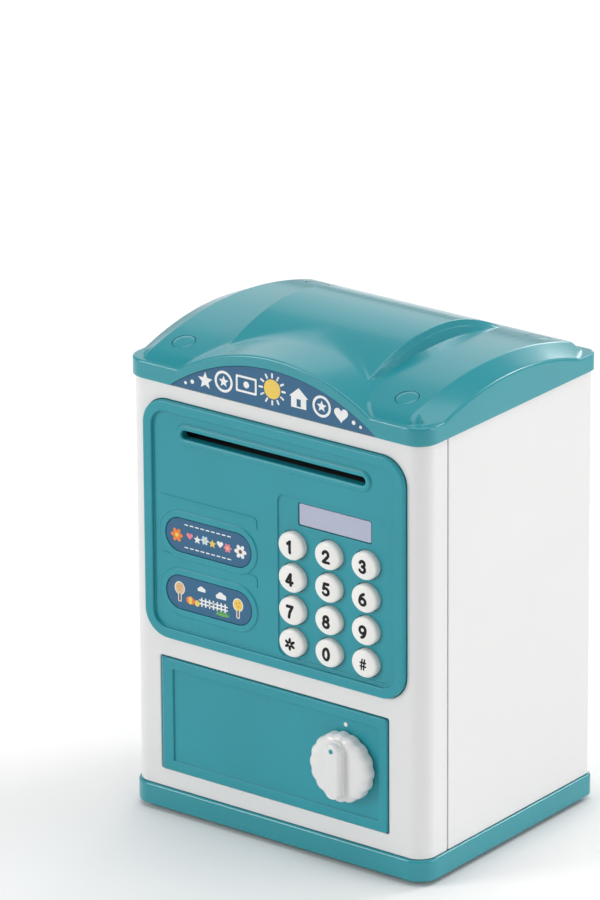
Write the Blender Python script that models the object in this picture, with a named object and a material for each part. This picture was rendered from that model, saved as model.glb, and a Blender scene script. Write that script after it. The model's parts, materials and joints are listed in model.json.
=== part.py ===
"""Toy cash-machine savings bank: a white two-part case, a vaulted roof, a keypad panel and a locking door.

All lengths below are in millimetres and are turned into metres where a mesh is made. X is to the right, +Y to
the back, +Z up. Shapes are placed about the middle of the case; the frame's origin is the middle of the
overall footprint, door knob included, on the surface that the feet stand on.
"""

import math

import bmesh
import bpy

MM = 0.001
GAP = 0.3                      # between pieces that touch

# Case
CASE_W = 130.0
CASE_D = 102.0
CASE_CORNER = 6.8              # at the front; the back has smaller ones
REAR_CORNER = 3.0
WALL = 2.2
OVERHANG = 1.0                 # roof and base beyond the case walls
FOOT_H = 2.0
BASE_TOP = 10.0
EAVES = 165.0                  # underside of the roof's flange
SEAM = 14.0                    # joint of the two shells, behind the front face
KNOB_PROUD = 8.4
DOOR_PROUD = 0.6

HALF_W = CASE_W / 2
HALF_D = CASE_D / 2
FRONT = -HALF_D
INNER_FRONT = FRONT + WALL
CENTRE_SHIFT = (KNOB_PROUD + DOOR_PROUD - OVERHANG) / 2

# Roof, heights above the eaves
FLANGE_H = 6.7
VAULT_TOP = 17.2
VAULT_HALF = 50.5
VAULT_RADIUS = 150.0
VAULT_X = 57.5
END_TOP = 13.6
END_HALF = 41.5
RAISED_TOP = 23.6
RAISED_HALF = 41.0
RAISED_X = 32.0
DORMER_TOP = 19.3
DORMER_RADIUS = 76.0
DORMER_HALF = 43.5
DORMER_BACK = -20.0
DORMER_RISE = 1.1
SIGN_TOP = 15.2
SIGN_RADIUS = 76.0
SIGN_HALF = 44.5
SIGN_DEPTH = 1.0
PLUG_X = 49.0
PLUG_Y = 39.0
PLUG_R = 4.2
SCREW_SEAT = 3.0
LUG_LOW = EAVES - 10.5         # lower end of the posts that take the roof screws
COIN_Y = 36.0
COIN_LONG = 30.0
COIN_WIDE = 3.6
ROOF_WALL = 2.3
LUG_HALF = 5.0                 # the posts' half depth
BOSS_R = 6.2                   # round each roof plug
SCREW_HOLE_R = 1.6

# Control panel, heights below the eaves turned into heights above the ground
PANEL_HALF_W = 57.5
PANEL_TOP = EAVES - 6.0
PANEL_BOTTOM = EAVES - 96.2
PANEL_CORNER = 10.0
PANEL_PROUD = 1.8
PANEL_RIM = 4.0
FIELD_DEPTH = 1.3
SLOT_Z = EAVES - 17.3
SLOT_LONG = 81.0
SLOT_HIGH = 3.2
KEY_X = 8.5
KEY_Z = EAVES - 48.2
KEY_PITCH_X = 16.0
KEY_PITCH_Z = 12.2
KEY_R = 5.2
KEY_TRAVEL = 1.2
PAD_LEFT = 1.4
PAD_RIGHT = 51.4
PAD_TOP = EAVES - 29.4
DISPLAY_X = (10.4, 42.4)
DISPLAY_Z = (EAVES - 40.4, EAVES - 31.8)
LABEL_X = -29.0
LABEL_W = 38.6
LABEL_H = 13.2
LABEL_Z = (EAVES - 55.6, EAVES - 77.5)

# Door
DOOR_LEFT = -52.1
DOOR_RIGHT = 49.7
DOOR_BOTTOM = 17.0
DOOR_TOP = 61.0
DOOR_BACK = INNER_FRONT - 0.1
HINGE_X = -50.0
HINGE_Y = FRONT + 1.1
BARREL_R = 1.8
PIN_R = 0.8
KNOB_X = 31.0
KNOB_Z = 39.0
KNOB_R = 13.0
STEM_R = 2.9
LATCH_REACH = 21.5
LATCH_Y = (INNER_FRONT + 0.9, INNER_FRONT + 2.9)
BOLT_X = 51.3                  # rises under the turned latch and keeps it from turning back
BOLT_Y = sum(LATCH_Y) / 2
BOLT_TIP = 28.0
BOLT_LONG = 12.0
BOLT_R = 1.4
COIL_X = (48.2, 56.2)
COIL_Z = (13.3, 25.0)

# Note feed
FEED_Y = -34.0
DRIVE_R = 5.0
DRIVE_Z = SLOT_Z - DRIVE_R - 0.2
IDLER_R = 4.0
IDLER_Z = SLOT_Z + IDLER_R + 0.2
SHAFT_R = 1.5
IDLER_SHAFT_R = 1.2
GEAR_MODULE = 0.6
GEAR_TEETH = 34
PINION_TEETH = 12
GEAR_BACKLASH = 0.15
GEAR_X = (-50.0, -47.0)
MOTOR_Z = DRIVE_Z - GEAR_MODULE * (GEAR_TEETH + PINION_TEETH) / 2 - GEAR_BACKLASH
MOTOR_R = 7.4
CHEEK_X = (42.6, 44.6)
DECK_Z = (66.0, 68.0)
CHUTE_Y = (-22.0, -8.0)

# Battery bay in the base
BAY_X = 46.0
BAY_Y = 54.0
BAY_CENTRE_Y = 14.0
BAY_TOP = 20.0
CELL_R = 7.2
CELL_LONG = 50.0
FOOT_X = 52.0
FOOT_Y = 38.0
FOOT_R = 6.2

# Speaker and coin chute
SPEAKER_Z = 125.0
SPEAKER_R = 17.0
GRILLE_R = 1.3
COIN_CHUTE_WALL = 1.4

MATERIALS = {
    "teal": ((0.075, 0.330, 0.380), 0.32, 0.0),
    "white": ((0.830, 0.830, 0.820), 0.30, 0.0),
    "label_blue": ((0.035, 0.130, 0.260), 0.35, 0.0),
    "key_white": ((0.820, 0.800, 0.760), 0.38, 0.0),
    "display": ((0.430, 0.460, 0.640), 0.25, 0.0),
    "rubber": ((0.045, 0.045, 0.050), 0.75, 0.0),
    "board": ((0.030, 0.180, 0.070), 0.45, 0.0),
    "steel": ((0.560, 0.570, 0.580), 0.28, 1.0),
    "dark": ((0.040, 0.042, 0.045), 0.50, 0.0),
    "natural": ((0.780, 0.760, 0.700), 0.45, 0.0),
    "cell": ((0.050, 0.060, 0.070), 0.35, 0.2),
}


# Building blocks

def clear_scene():
    for item in list(bpy.data.objects):
        bpy.data.objects.remove(item, do_unlink=True)


def material(name):
    found = bpy.data.materials.get(name)
    if found:
        return found
    colour, roughness, metallic = MATERIALS[name]
    made = bpy.data.materials.new(name)
    made.use_nodes = True
    shader = made.node_tree.nodes["Principled BSDF"]
    shader.inputs["Base Color"].default_value = (*colour, 1.0)
    shader.inputs["Roughness"].default_value = roughness
    shader.inputs["Metallic"].default_value = metallic
    return made


def to_metres(point):
    x, y, z = point
    return (x * MM, (y + CENTRE_SHIFT) * MM, z * MM)


def arc(centre, radius, start, end, steps):
    """Points along an arc, both ends included; angles in degrees."""
    points = []
    for i in range(steps + 1):
        angle = math.radians(start + (end - start) * i / steps)
        points.append((centre[0] + radius * math.cos(angle), centre[1] + radius * math.sin(angle)))
    return points


def circle(centre, radius, steps=20):
    return arc(centre, radius, 0, 360 - 360 / steps, steps - 1)


def rounded(left, right, low, high, radius, steps=6):
    """A rectangle with round corners, anticlockwise."""
    corners = (
        ((right - radius, low + radius), -90),
        ((right - radius, high - radius), 0),
        ((left + radius, high - radius), 90),
        ((left + radius, low + radius), 180),
    )
    points = []
    for centre, start in corners:
        points += arc(centre, radius, start, start + 90, steps)
    return points


def rectangle(left, right, low, high):
    return [(left, low), (right, low), (right, high), (left, high)]


def place(axis, u, v, along):
    """A point of a flat outline, set on the plane at right angles to an axis."""
    if axis == "X":
        return (along, u, v)
    if axis == "Y":
        return (u, along, v)
    return (u, v, along)


def loft(bm, sections):
    """A closed solid through matching rings of points."""
    rings = [[bm.verts.new(to_metres(p)) for p in ring] for ring in sections]
    faces = [bm.faces.new(rings[0]), bm.faces.new(rings[-1])]
    for near, far in zip(rings, rings[1:]):
        for i in range(len(near)):
            j = (i + 1) % len(near)
            faces.append(bm.faces.new((near[i], near[j], far[j], far[i])))
    bmesh.ops.recalc_face_normals(bm, faces=faces)


def prism(bm, axis, outline, low, high):
    loft(bm, [[place(axis, u, v, at) for u, v in outline] for at in (low, high)])


def tube(bm, axis, centre, radii_at, steps=20):
    """A turned solid: rings of a given radius at places along the axis."""
    rings = []
    for radius, at in radii_at:
        rings.append([place(axis, u, v, at) for u, v in circle(centre, radius, steps)])
    loft(bm, rings)


def block(bm, low, high):
    prism(bm, "Z", rectangle(low[0], high[0], low[1], high[1]), low[2], high[2])


def piece(name, material_name, build, origin=(0, 0, 0), smooth=True):
    """A named object whose mesh the build function fills, with its origin at the given point."""
    bm = bmesh.new()
    build(bm)
    at = to_metres(origin)
    for vert in bm.verts:
        vert.co.x -= at[0]
        vert.co.y -= at[1]
        vert.co.z -= at[2]
    mesh = bpy.data.meshes.new(name)
    bm.to_mesh(mesh)
    bm.free()
    if smooth:
        mesh.shade_smooth()
        mesh.set_sharp_from_angle(angle=math.radians(35))
    mesh.materials.append(material(material_name))
    made = bpy.data.objects.new(name, mesh)
    made.location = at
    bpy.context.scene.collection.objects.link(made)
    return made


def combine(target, operation, build):
    """Joins a helper shape to a piece, or cuts it away, with a live Boolean."""
    count = len(target.modifiers)
    bm = bmesh.new()
    build(bm)
    mesh = bpy.data.meshes.new(f"{target.name}_tool_{count}")
    bm.to_mesh(mesh)
    bm.free()
    tool = bpy.data.objects.new(mesh.name, mesh)
    tool.hide_render = True
    tool.display_type = "WIRE"
    bpy.context.scene.collection.objects.link(tool)
    modifier = target.modifiers.new(f"{operation.lower()}_{count}", "BOOLEAN")
    modifier.operation = operation
    modifier.solver = "EXACT"
    modifier.object = tool


def join(target, build):
    combine(target, "UNION", build)


def cut(target, build):
    combine(target, "DIFFERENCE", build)


# Case

def case_outline(inset, steps=6):
    half_w = HALF_W - inset
    half_d = HALF_D - inset
    front = CASE_CORNER - inset
    rear = max(REAR_CORNER - inset, 0.6)
    return (arc((half_w - front, front - half_d), front, -90, 0, steps)
            + arc((half_w - rear, half_d - rear), rear, 0, 90, steps)
            + arc((rear - half_w, half_d - rear), rear, 90, 180, steps)
            + arc((front - half_w, front - half_d), front, 180, 270, steps))


def shell_outline(front):
    """Plan of one shell: three sides of the case wall, open at the seam."""
    seam = FRONT + SEAM
    outer = []
    inner = []
    for inset, points in ((0.0, outer), (WALL, inner)):
        corner = CASE_CORNER if front else REAR_CORNER
        radius = corner - inset
        side = HALF_W - corner
        depth = HALF_D - corner
        if front:
            points.append((-HALF_W + inset, seam - GAP / 2))
            points += arc((-side, -depth), radius, 180, 270, 6)
            points += arc((side, -depth), radius, 270, 360, 6)
            points.append((HALF_W - inset, seam - GAP / 2))
        else:
            points.append((HALF_W - inset, seam + GAP / 2))
            points += arc((side, depth), radius, 0, 90, 6)
            points += arc((-side, depth), radius, 90, 180, 6)
            points.append((-HALF_W + inset, seam + GAP / 2))
    return outer + inner[::-1]


def screw_hole(bm, x, y, low, high):
    tube(bm, "Z", (x, y), [(SCREW_HOLE_R, low), (SCREW_HOLE_R, high)], 16)


def make_front_shell():
    low = BASE_TOP + GAP
    high = EAVES - GAP
    shell = piece("front_shell", "white", lambda bm: prism(bm, "Z", shell_outline(True), low, high))

    def lugs(bm):
        column = INNER_FRONT + 3.2
        web = PANEL_TOP + 2.8
        back = LUG_HALF - PLUG_Y
        side_view = [(INNER_FRONT - 1, web), (column, web), (column, LUG_LOW), (back, LUG_LOW), (back, high),
                     (INNER_FRONT - 1, high)]
        for side in (-1, 1):
            left, right = sorted((side * (PLUG_X - 3.4), side * (PLUG_X + 4.5)))
            prism(bm, "X", side_view, left, right)

    def hinge_lugs(bm):
        for z in ((BASE_TOP + 3.3, DOOR_BOTTOM + 0.2), (DOOR_TOP - 0.2, DOOR_TOP + 5)):
            block(bm, (HINGE_X - 4, INNER_FRONT - 1.0, z[0]), (HINGE_X + 4, INNER_FRONT + 2.5, z[1]))

    def stop(bm):
        step = DOOR_BACK + GAP
        back = DOOR_BACK + 2.2
        near = DOOR_RIGHT + 0.2
        far = DOOR_RIGHT + 3
        lip = DOOR_RIGHT - 1.6
        outline = [(near, INNER_FRONT - 1), (far, INNER_FRONT - 1), (far, back), (lip, back), (lip, step),
                   (near, step)]
        prism(bm, "Z", outline, DOOR_TOP - 8, DOOR_TOP - 1)

    def openings(bm):
        half = PANEL_HALF_W + GAP
        panel = rounded(-half, half, PANEL_BOTTOM - GAP, PANEL_TOP + GAP, PANEL_CORNER + GAP)
        prism(bm, "Y", panel, FRONT - 3, INNER_FRONT + 0.5)

    def doorway(bm):
        edge = rounded(DOOR_LEFT, DOOR_RIGHT, DOOR_BOTTOM, DOOR_TOP, 0.4, 2)
        prism(bm, "Y", edge, FRONT - 3, INNER_FRONT + 0.1)

    def pin_holes(bm):
        bore = PIN_R + 0.1
        tube(bm, "Z", (HINGE_X, HINGE_Y), [(bore, DOOR_BOTTOM - 2.6), (bore, DOOR_TOP + 2.6)], 16)

    def holes(bm):
        for side in (-1, 1):
            screw_hole(bm, side * PLUG_X, -PLUG_Y, EAVES - 12, EAVES + 3)

    join(shell, lugs)
    join(shell, hinge_lugs)
    cut(shell, openings)
    cut(shell, doorway)
    join(shell, stop)
    cut(shell, pin_holes)
    cut(shell, holes)


def make_rear_shell():
    low = BASE_TOP + GAP
    high = EAVES - GAP
    shell = piece("rear_shell", "white", lambda bm: prism(bm, "Z", shell_outline(False), low, high))

    def lugs(bm):
        for side in (-1, 1):
            left, right = sorted((side * (PLUG_X - 4.5), side * (HALF_W - WALL + 1)))
            block(bm, (left, PLUG_Y - LUG_HALF, LUG_LOW), (right, PLUG_Y + LUG_HALF, high))

    def ledges(bm):
        for side in (-1, 1):
            left, right = sorted((side * (HALF_W - WALL - 2.5), side * (HALF_W - WALL + 1)))
            block(bm, (left, -34, DECK_Z[0] - 3), (right, 40, DECK_Z[0] - GAP))

    def holes(bm):
        for side in (-1, 1):
            screw_hole(bm, side * PLUG_X, PLUG_Y, EAVES - 12, EAVES + 3)

    def grille(bm):
        for count, radius in ((1, 0.0), (6, 5.0), (12, 10.0)):
            for i in range(count):
                angle = 2 * math.pi * i / count
                centre = (radius * math.cos(angle), SPEAKER_Z + radius * math.sin(angle))
                tube(bm, "Y", centre, [(GRILLE_R, HALF_D - 4), (GRILLE_R, HALF_D + 1)], 8)

    join(shell, lugs)
    join(shell, ledges)
    cut(shell, holes)
    cut(shell, grille)


def make_base():
    outline = case_outline(-OVERHANG)
    base = piece("base_plate", "teal", lambda bm: prism(bm, "Z", outline, FOOT_H, BASE_TOP))
    bay = (-BAY_X / 2, BAY_X / 2, BAY_CENTRE_Y - BAY_Y / 2, BAY_CENTRE_Y + BAY_Y / 2)
    box = (bay[0] - 2, bay[1] + 2, bay[2] - 2, bay[3] + 2)
    skirt = 2.2

    def hollow(bm):
        half_w = HALF_W + OVERHANG - skirt
        half_d = HALF_D + OVERHANG - skirt
        prism(bm, "Z", rounded(-half_w, half_w, -half_d, half_d, 6.0), FOOT_H - 1, BASE_TOP - 2.5)

    def bay_box(bm):
        prism(bm, "Z", rectangle(*box), FOOT_H, BAY_TOP + 1.6)

    def foot_bosses(bm):
        for x in (-FOOT_X, FOOT_X):
            for y in (-FOOT_Y, FOOT_Y):
                tube(bm, "Z", (x, y), [(7.0, FOOT_H), (7.0, BASE_TOP - 2)])

    def rim(bm):
        prism(bm, "Z", case_outline(WALL + GAP), BASE_TOP - 1, BASE_TOP + 3)

    def inside_rim(bm):
        prism(bm, "Z", case_outline(WALL + GAP + 1.6), BASE_TOP, BASE_TOP + 4)

    def battery_space(bm):
        prism(bm, "Z", rectangle(*bay), FOOT_H + 2.4, BAY_TOP)

    def lid_seat(bm):
        seat = rectangle(bay[0] - 0.8, bay[1] + 0.8, bay[2] - 0.8, bay[3] + 0.8)
        prism(bm, "Z", seat, FOOT_H - 1, FOOT_H + 2.4)

    join(base, rim)
    cut(base, inside_rim)
    cut(base, hollow)
    join(base, bay_box)
    cut(base, battery_space)
    cut(base, lid_seat)
    join(base, foot_bosses)

    lid = rounded(bay[0] - 0.5, bay[1] + 0.5, bay[2] - 0.5, bay[3] + 0.5, 1.0, 3)
    piece("battery_lid", "teal", lambda bm: prism(bm, "Z", lid, FOOT_H, FOOT_H + 2.1))
    for i, x in enumerate((-CELL_R * 2 - 0.5, 0, CELL_R * 2 + 0.5)):
        def cell(bm, x=x, flip=(-1) ** i):
            middle = BAY_CENTRE_Y
            half = CELL_LONG / 2
            z = FOOT_H + 2.4 + CELL_R + 0.4
            ends = [(CELL_R, -half), (CELL_R, half - 1.5), (2.7, half - 1.5), (2.7, half)]
            tube(bm, "Y", (x, z), [(r, middle + flip * y) for r, y in ends], 20)
        piece(f"battery_{i + 1}", "cell", cell)
    for name, y in (("front", bay[2] + 0.3), ("rear", bay[3] - 0.8)):
        piece(f"battery_contact_{name}", "steel", lambda bm, y=y: block(
            bm, (-21, y, FOOT_H + 6), (21, y + 0.5, FOOT_H + 14)))
    count = 0
    for y in (-FOOT_Y, FOOT_Y):
        for x in (-FOOT_X, FOOT_X):
            count += 1
            piece(f"foot_{count}", "rubber", lambda bm, x=x, y=y: tube(
                bm, "Z", (x, y), [(FOOT_R - 0.6, 0), (FOOT_R, 0.5), (FOOT_R, FOOT_H - GAP)], 20))


# Roof

def vault_height(y, top):
    """Height of the shallow vault above the eaves at a distance from its middle."""
    return top - VAULT_RADIUS + math.sqrt(VAULT_RADIUS ** 2 - y ** 2)


def vault_profile(half, top, drop=0.0, steps=16, foot=1.0):
    """Section of the roof's main vault, with its steep short foot at front and back."""
    shoulder = half - 1.8
    points = [(-half, foot)]
    points.append((-half, vault_height(shoulder, top) - 1.6 - drop))
    for i in range(steps + 1):
        y = -shoulder + 2 * shoulder * i / steps
        points.append((y, vault_height(y, top) - drop))
    points.append((half, vault_height(shoulder, top) - 1.6 - drop))
    points.append((half, foot))
    return points


def bow_profile(half, top, ends, steps=16, foot=1.0):
    """Section with a bow through its middle height and the height at its two ends."""
    rise = top - ends
    radius = (half ** 2 + rise ** 2) / (2 * rise)
    points = [(-half, foot)]
    for i in range(steps + 1):
        u = -half + 2 * half * i / steps
        points.append((u, top - radius + math.sqrt(radius ** 2 - u ** 2)))
    points.append((half, foot))
    return points


def end_profile(drop=0.0, half=END_HALF, foot=1.0):
    """Section of the vault where it meets the side of the roof, point for point like the main one."""
    bow = bow_profile(half, END_TOP - drop, FLANGE_H - 0.2 - drop, 16, foot)
    return [bow[0], bow[1], *bow[1:-1], bow[-2], bow[-1]]


def ring_at(axis, along, outline, lift=0.0):
    return [place(axis, u, v + EAVES + lift, along) for u, v in outline]


def spread(outline):
    """Parts the repeated points of an outline by a hair so that no edge has zero length."""
    parted = []
    for i, (u, v) in enumerate(outline):
        step = 0.01 * (i == 1) - 0.01 * (i == len(outline) - 2)
        parted.append((u, v - abs(step) * 20))
    return parted


def vault_solid(bm, drop, half, half_end, x_main, x_end, foot):
    main = vault_profile(half, VAULT_TOP, drop, 16, foot)
    end = spread(end_profile(drop, half_end, foot))
    loft(bm, [
        ring_at("X", -x_end, end),
        ring_at("X", -x_main, main),
        ring_at("X", x_main, main),
        ring_at("X", x_end, end),
    ])


def sign_outline(inset=0.0, foot=-1.0):
    radius = SIGN_RADIUS - inset
    top = SIGN_TOP - inset
    half = SIGN_HALF - inset
    points = [(-half, foot)]
    for i in range(17):
        x = -half + 2 * half * i / 16
        points.append((x, top - radius + math.sqrt(radius ** 2 - x ** 2)))
    points.append((half, foot))
    return points


def make_roof():
    outline = case_outline(-OVERHANG)
    roof_front = FRONT - OVERHANG
    roof = piece("roof", "teal", lambda bm: prism(bm, "Z", outline, EAVES, EAVES + FLANGE_H))

    def vault(bm):
        vault_solid(bm, 0.0, VAULT_HALF, END_HALF, VAULT_X, HALF_W + OVERHANG, 1.0)

    def raised(bm):
        bow = bow_profile(RAISED_HALF, RAISED_TOP, 11.0, 16, 2.0)
        prism(bm, "X", [(y, z + EAVES) for y, z in bow], -RAISED_X, RAISED_X)

    def dormer(bm):
        ends = DORMER_TOP - DORMER_HALF ** 2 / (2 * DORMER_RADIUS)
        bow = bow_profile(DORMER_HALF, DORMER_TOP, ends, 16, 0.5)
        back = [(u, v + DORMER_RISE * (v > 1)) for u, v in bow]
        loft(bm, [ring_at("Y", roof_front, bow), ring_at("Y", DORMER_BACK, back)])

    def cavity(bm):
        x_end = HALF_W + OVERHANG - ROOF_WALL
        vault_solid(bm, ROOF_WALL, VAULT_HALF - ROOF_WALL, END_HALF - 1.5, VAULT_X - 1.0, x_end, -1.0)

    def cavity_corners(bm):
        prism(bm, "Z", case_outline(WALL), EAVES - 1, EAVES + FLANGE_H - ROOF_WALL)

    def cavity_raised(bm):
        bow = bow_profile(RAISED_HALF - 2, RAISED_TOP - ROOF_WALL, 9.0, 16, 2.0)
        prism(bm, "X", [(y, z + EAVES) for y, z in bow], ROOF_WALL - RAISED_X, RAISED_X - ROOF_WALL)

    def plug_bosses(bm):
        for x in (-PLUG_X, PLUG_X):
            for y in (-PLUG_Y, PLUG_Y):
                tube(bm, "Z", (x, y), [(BOSS_R, EAVES), (BOSS_R, EAVES + 9.0)], 20)

    def plug_holes(bm):
        bore = PLUG_R + GAP
        for x in (-PLUG_X, PLUG_X):
            for y in (-PLUG_Y, PLUG_Y):
                tube(bm, "Z", (x, y), [(bore, EAVES + SCREW_SEAT), (bore, EAVES + 20)], 20)

    def screw_holes(bm):
        for x in (-PLUG_X, PLUG_X):
            for y in (-PLUG_Y, PLUG_Y):
                screw_hole(bm, x, y, EAVES - 2, EAVES + SCREW_SEAT + 1)

    def coin_slot(bm):
        half = COIN_WIDE / 2
        outline = rounded(-COIN_LONG / 2, COIN_LONG / 2, COIN_Y - half, COIN_Y + half, half - 0.05, 4)
        prism(bm, "Z", outline, EAVES + 5, EAVES + 22)

    def sign_recess(bm):
        prism(bm, "Y", [(x, z + EAVES) for x, z in sign_outline()], roof_front - 1, roof_front + SIGN_DEPTH)

    join(roof, vault)
    join(roof, raised)
    join(roof, dormer)
    cut(roof, cavity)
    cut(roof, cavity_corners)
    cut(roof, cavity_raised)
    join(roof, plug_bosses)
    cut(roof, plug_holes)
    cut(roof, screw_holes)
    cut(roof, coin_slot)
    cut(roof, sign_recess)

    piece("sign_label", "label_blue", lambda bm: prism(
        bm, "Y", [(x, z + EAVES) for x, z in sign_outline(GAP, 0.3)],
        roof_front + 0.2, roof_front + SIGN_DEPTH - GAP))
    make_plugs_and_screws()


def make_plugs_and_screws():
    count = 0
    for y in (-PLUG_Y, PLUG_Y):
        for x in (-PLUG_X, PLUG_X):
            count += 1

            def plug(bm, x=x, y=y):
                rim = circle((x, y), PLUG_R, 20)
                low = [(u, v, EAVES + SCREW_SEAT + 2.6) for u, v in rim]
                high = [(u, v, EAVES + vault_height(v, VAULT_TOP) - 0.1) for u, v in rim]
                loft(bm, [low, high])

            def screw(bm, x=x, y=y):
                seat = EAVES + SCREW_SEAT + GAP
                tube(bm, "Z", (x, y), [(1.3, EAVES - 9), (1.3, seat), (2.8, seat), (2.8, seat + 1.8)], 16)

            piece(f"roof_plug_{count}", "teal", plug)
            piece(f"roof_screw_{count}", "steel", screw)


# Control panel

def pill(centre_x, centre_z, width, height, steps=8):
    left = centre_x - width / 2
    right = centre_x + width / 2
    return rounded(left, right, centre_z - height / 2, centre_z + height / 2, height / 2 - 0.02, steps)


def key_centres():
    labels = (("1", "2", "3"), ("4", "5", "6"), ("7", "8", "9"), ("star", "0", "hash"))
    for row, names in enumerate(labels):
        for column, label in enumerate(names):
            yield f"key_{label}", KEY_X + KEY_PITCH_X * column, KEY_Z - KEY_PITCH_Z * row


def make_panel():
    face = FRONT - PANEL_PROUD
    field = face + FIELD_DEPTH
    plate_back = field + 2.2
    back = INNER_FRONT + 2.3
    outline = rounded(-PANEL_HALF_W, PANEL_HALF_W, PANEL_BOTTOM, PANEL_TOP, PANEL_CORNER)
    panel = piece("control_panel", "teal", lambda bm: prism(bm, "Y", outline, face, back))
    spread_w = 0.7
    spread_h = 2.2

    def flange(bm):
        ring = rounded(-PANEL_HALF_W - spread_w, PANEL_HALF_W + spread_w, PANEL_BOTTOM - spread_h,
                       PANEL_TOP + spread_h, PANEL_CORNER)
        prism(bm, "Y", ring, INNER_FRONT + GAP, back)

    def rear_pocket(bm):
        inset = 2.5
        ring = rounded(-PANEL_HALF_W + inset, PANEL_HALF_W - inset, PANEL_BOTTOM + inset, PANEL_TOP - inset,
                       PANEL_CORNER - inset)
        prism(bm, "Y", ring, plate_back, back + 1)

    def front_field(bm):
        rim = PANEL_RIM
        ring = rounded(-PANEL_HALF_W + rim, PANEL_HALF_W - rim, PANEL_BOTTOM + rim, PANEL_TOP - rim,
                       PANEL_CORNER - rim)
        prism(bm, "Y", ring, face - 1, field)

    def slot_tunnel(bm):
        prism(bm, "Y", pill(0, SLOT_Z, SLOT_LONG + 3.0, SLOT_HIGH + 3.0, 4), field - 0.6, FRONT + 10.0)

    def slot(bm):
        prism(bm, "Y", pill(0, SLOT_Z, SLOT_LONG, SLOT_HIGH, 4), face - 1, FRONT + 11.0)

    def keypad_field(bm):
        outline = rounded(PAD_LEFT, PAD_RIGHT, PANEL_BOTTOM + PANEL_RIM + 1.0, PAD_TOP, 3.6, 4)
        prism(bm, "Y", outline, face - 1, field + 0.5)

    def key_holes(bm):
        for _, x, z in key_centres():
            tube(bm, "Y", (x, z), [(KEY_R + GAP, face - 1), (KEY_R + GAP, plate_back + 0.5)], 16)

    def display_hole(bm):
        prism(bm, "Y", rounded(DISPLAY_X[0], DISPLAY_X[1], DISPLAY_Z[0], DISPLAY_Z[1], 0.8, 3),
              face - 1, plate_back + 0.5)

    def label_pockets(bm):
        for z in LABEL_Z:
            prism(bm, "Y", pill(LABEL_X, z, LABEL_W, LABEL_H), face - 1, field + 0.7)

    join(panel, flange)
    cut(panel, rear_pocket)
    cut(panel, front_field)
    join(panel, slot_tunnel)
    cut(panel, slot)
    cut(panel, keypad_field)
    cut(panel, key_holes)
    cut(panel, display_hole)
    cut(panel, label_pockets)

    for name, z in zip(("label_upper", "label_lower"), LABEL_Z):
        piece(name, "label_blue", lambda bm, z=z: prism(
            bm, "Y", pill(LABEL_X, z, LABEL_W - 2 * GAP, LABEL_H - 2 * GAP), field + 0.1, field + 0.7 - GAP))
    window = rounded(DISPLAY_X[0] + GAP, DISPLAY_X[1] - GAP, DISPLAY_Z[0] + GAP, DISPLAY_Z[1] - GAP, 0.6, 3)
    piece("display_window", "display", lambda bm: prism(bm, "Y", window, field + 0.8, field + 1.9))
    piece("display_module", "dark", lambda bm: block(
        bm, (DISPLAY_X[0] - 1.5, plate_back + 0.5, DISPLAY_Z[0] - 0.6),
        (DISPLAY_X[1] + 1.5, back + 0.6, DISPLAY_Z[1] + 2)))
    make_keys(field, plate_back)


def make_keys(field, plate_back):
    top = field + 0.5 - 2.9
    behind = plate_back + GAP
    for name, x, z in key_centres():
        def key(bm, x=x, z=z):
            rings = []
            for i in range(4):
                angle = math.radians(90 * i / 3)
                rings.append((0.8 + (KEY_R - 0.8) * math.sin(angle), top + 1.6 * (1 - math.cos(angle))))
            rings += [(KEY_R, behind), (KEY_R + 0.55, behind), (KEY_R + 0.55, behind + 0.8)]
            tube(bm, "Y", (x, z), rings, 16)
        piece(name, "key_white", key, origin=(x, top, z))

    mat_front = behind + 0.8 + KEY_TRAVEL + 0.2
    low = KEY_Z - 3 * KEY_PITCH_Z - 6.2

    def membrane(bm):
        outline = rounded(PAD_LEFT + 0.5, PAD_RIGHT - 0.5, low, KEY_Z + 6.0, 2.0, 3)
        prism(bm, "Y", outline, mat_front + 0.8, mat_front + 1.8)

    mat = piece("keypad_membrane", "rubber", membrane)

    def domes(bm):
        for _, x, z in key_centres():
            tube(bm, "Y", (x, z), [(1.6, mat_front), (2.8, mat_front + 0.9)], 8)

    join(mat, domes)
    piece("main_board", "board", lambda bm: block(
        bm, (-3, mat_front + 2.1, DECK_Z[1] + 3), (54, mat_front + 3.7, DISPLAY_Z[1] + 2)))


# Door and lock

def make_door():
    face = FRONT - DOOR_PROUD
    low = DOOR_BOTTOM + GAP
    high = DOOR_TOP - GAP
    hinge = (HINGE_X, HINGE_Y, KNOB_Z)
    right = DOOR_RIGHT - GAP

    def plate(bm):
        prism(bm, "Y", rectangle(HINGE_X, right, low, high), face, DOOR_BACK)

    door = piece("door", "teal", plate, origin=hinge)
    frame = 4.0

    def barrel(bm):
        tube(bm, "Z", (HINGE_X, HINGE_Y), [(BARREL_R, low), (BARREL_R, high)], 20)

    def front_field(bm):
        prism(bm, "Y", rounded(HINGE_X + frame + 1, right - frame, low + frame, high - frame, 4.0, 4),
              face - 1, face + 0.7)

    def pin_hole(bm):
        tube(bm, "Z", (HINGE_X, HINGE_Y), [(PIN_R + 0.1, low - 1), (PIN_R + 0.1, high + 1)], 16)

    def knob_hole(bm):
        bore = STEM_R + GAP
        tube(bm, "Y", (KNOB_X, KNOB_Z), [(bore, face - 1), (bore, DOOR_BACK + 1)], 20)

    join(door, barrel)
    cut(door, front_field)
    cut(door, pin_hole)
    cut(door, knob_hole)
    piece("door_hinge_pin", "steel", lambda bm: tube(
        bm, "Z", (HINGE_X, HINGE_Y), [(PIN_R, DOOR_BOTTOM - 2.3), (PIN_R, DOOR_TOP + 2.3)], 16))
    make_knob(face)


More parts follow.
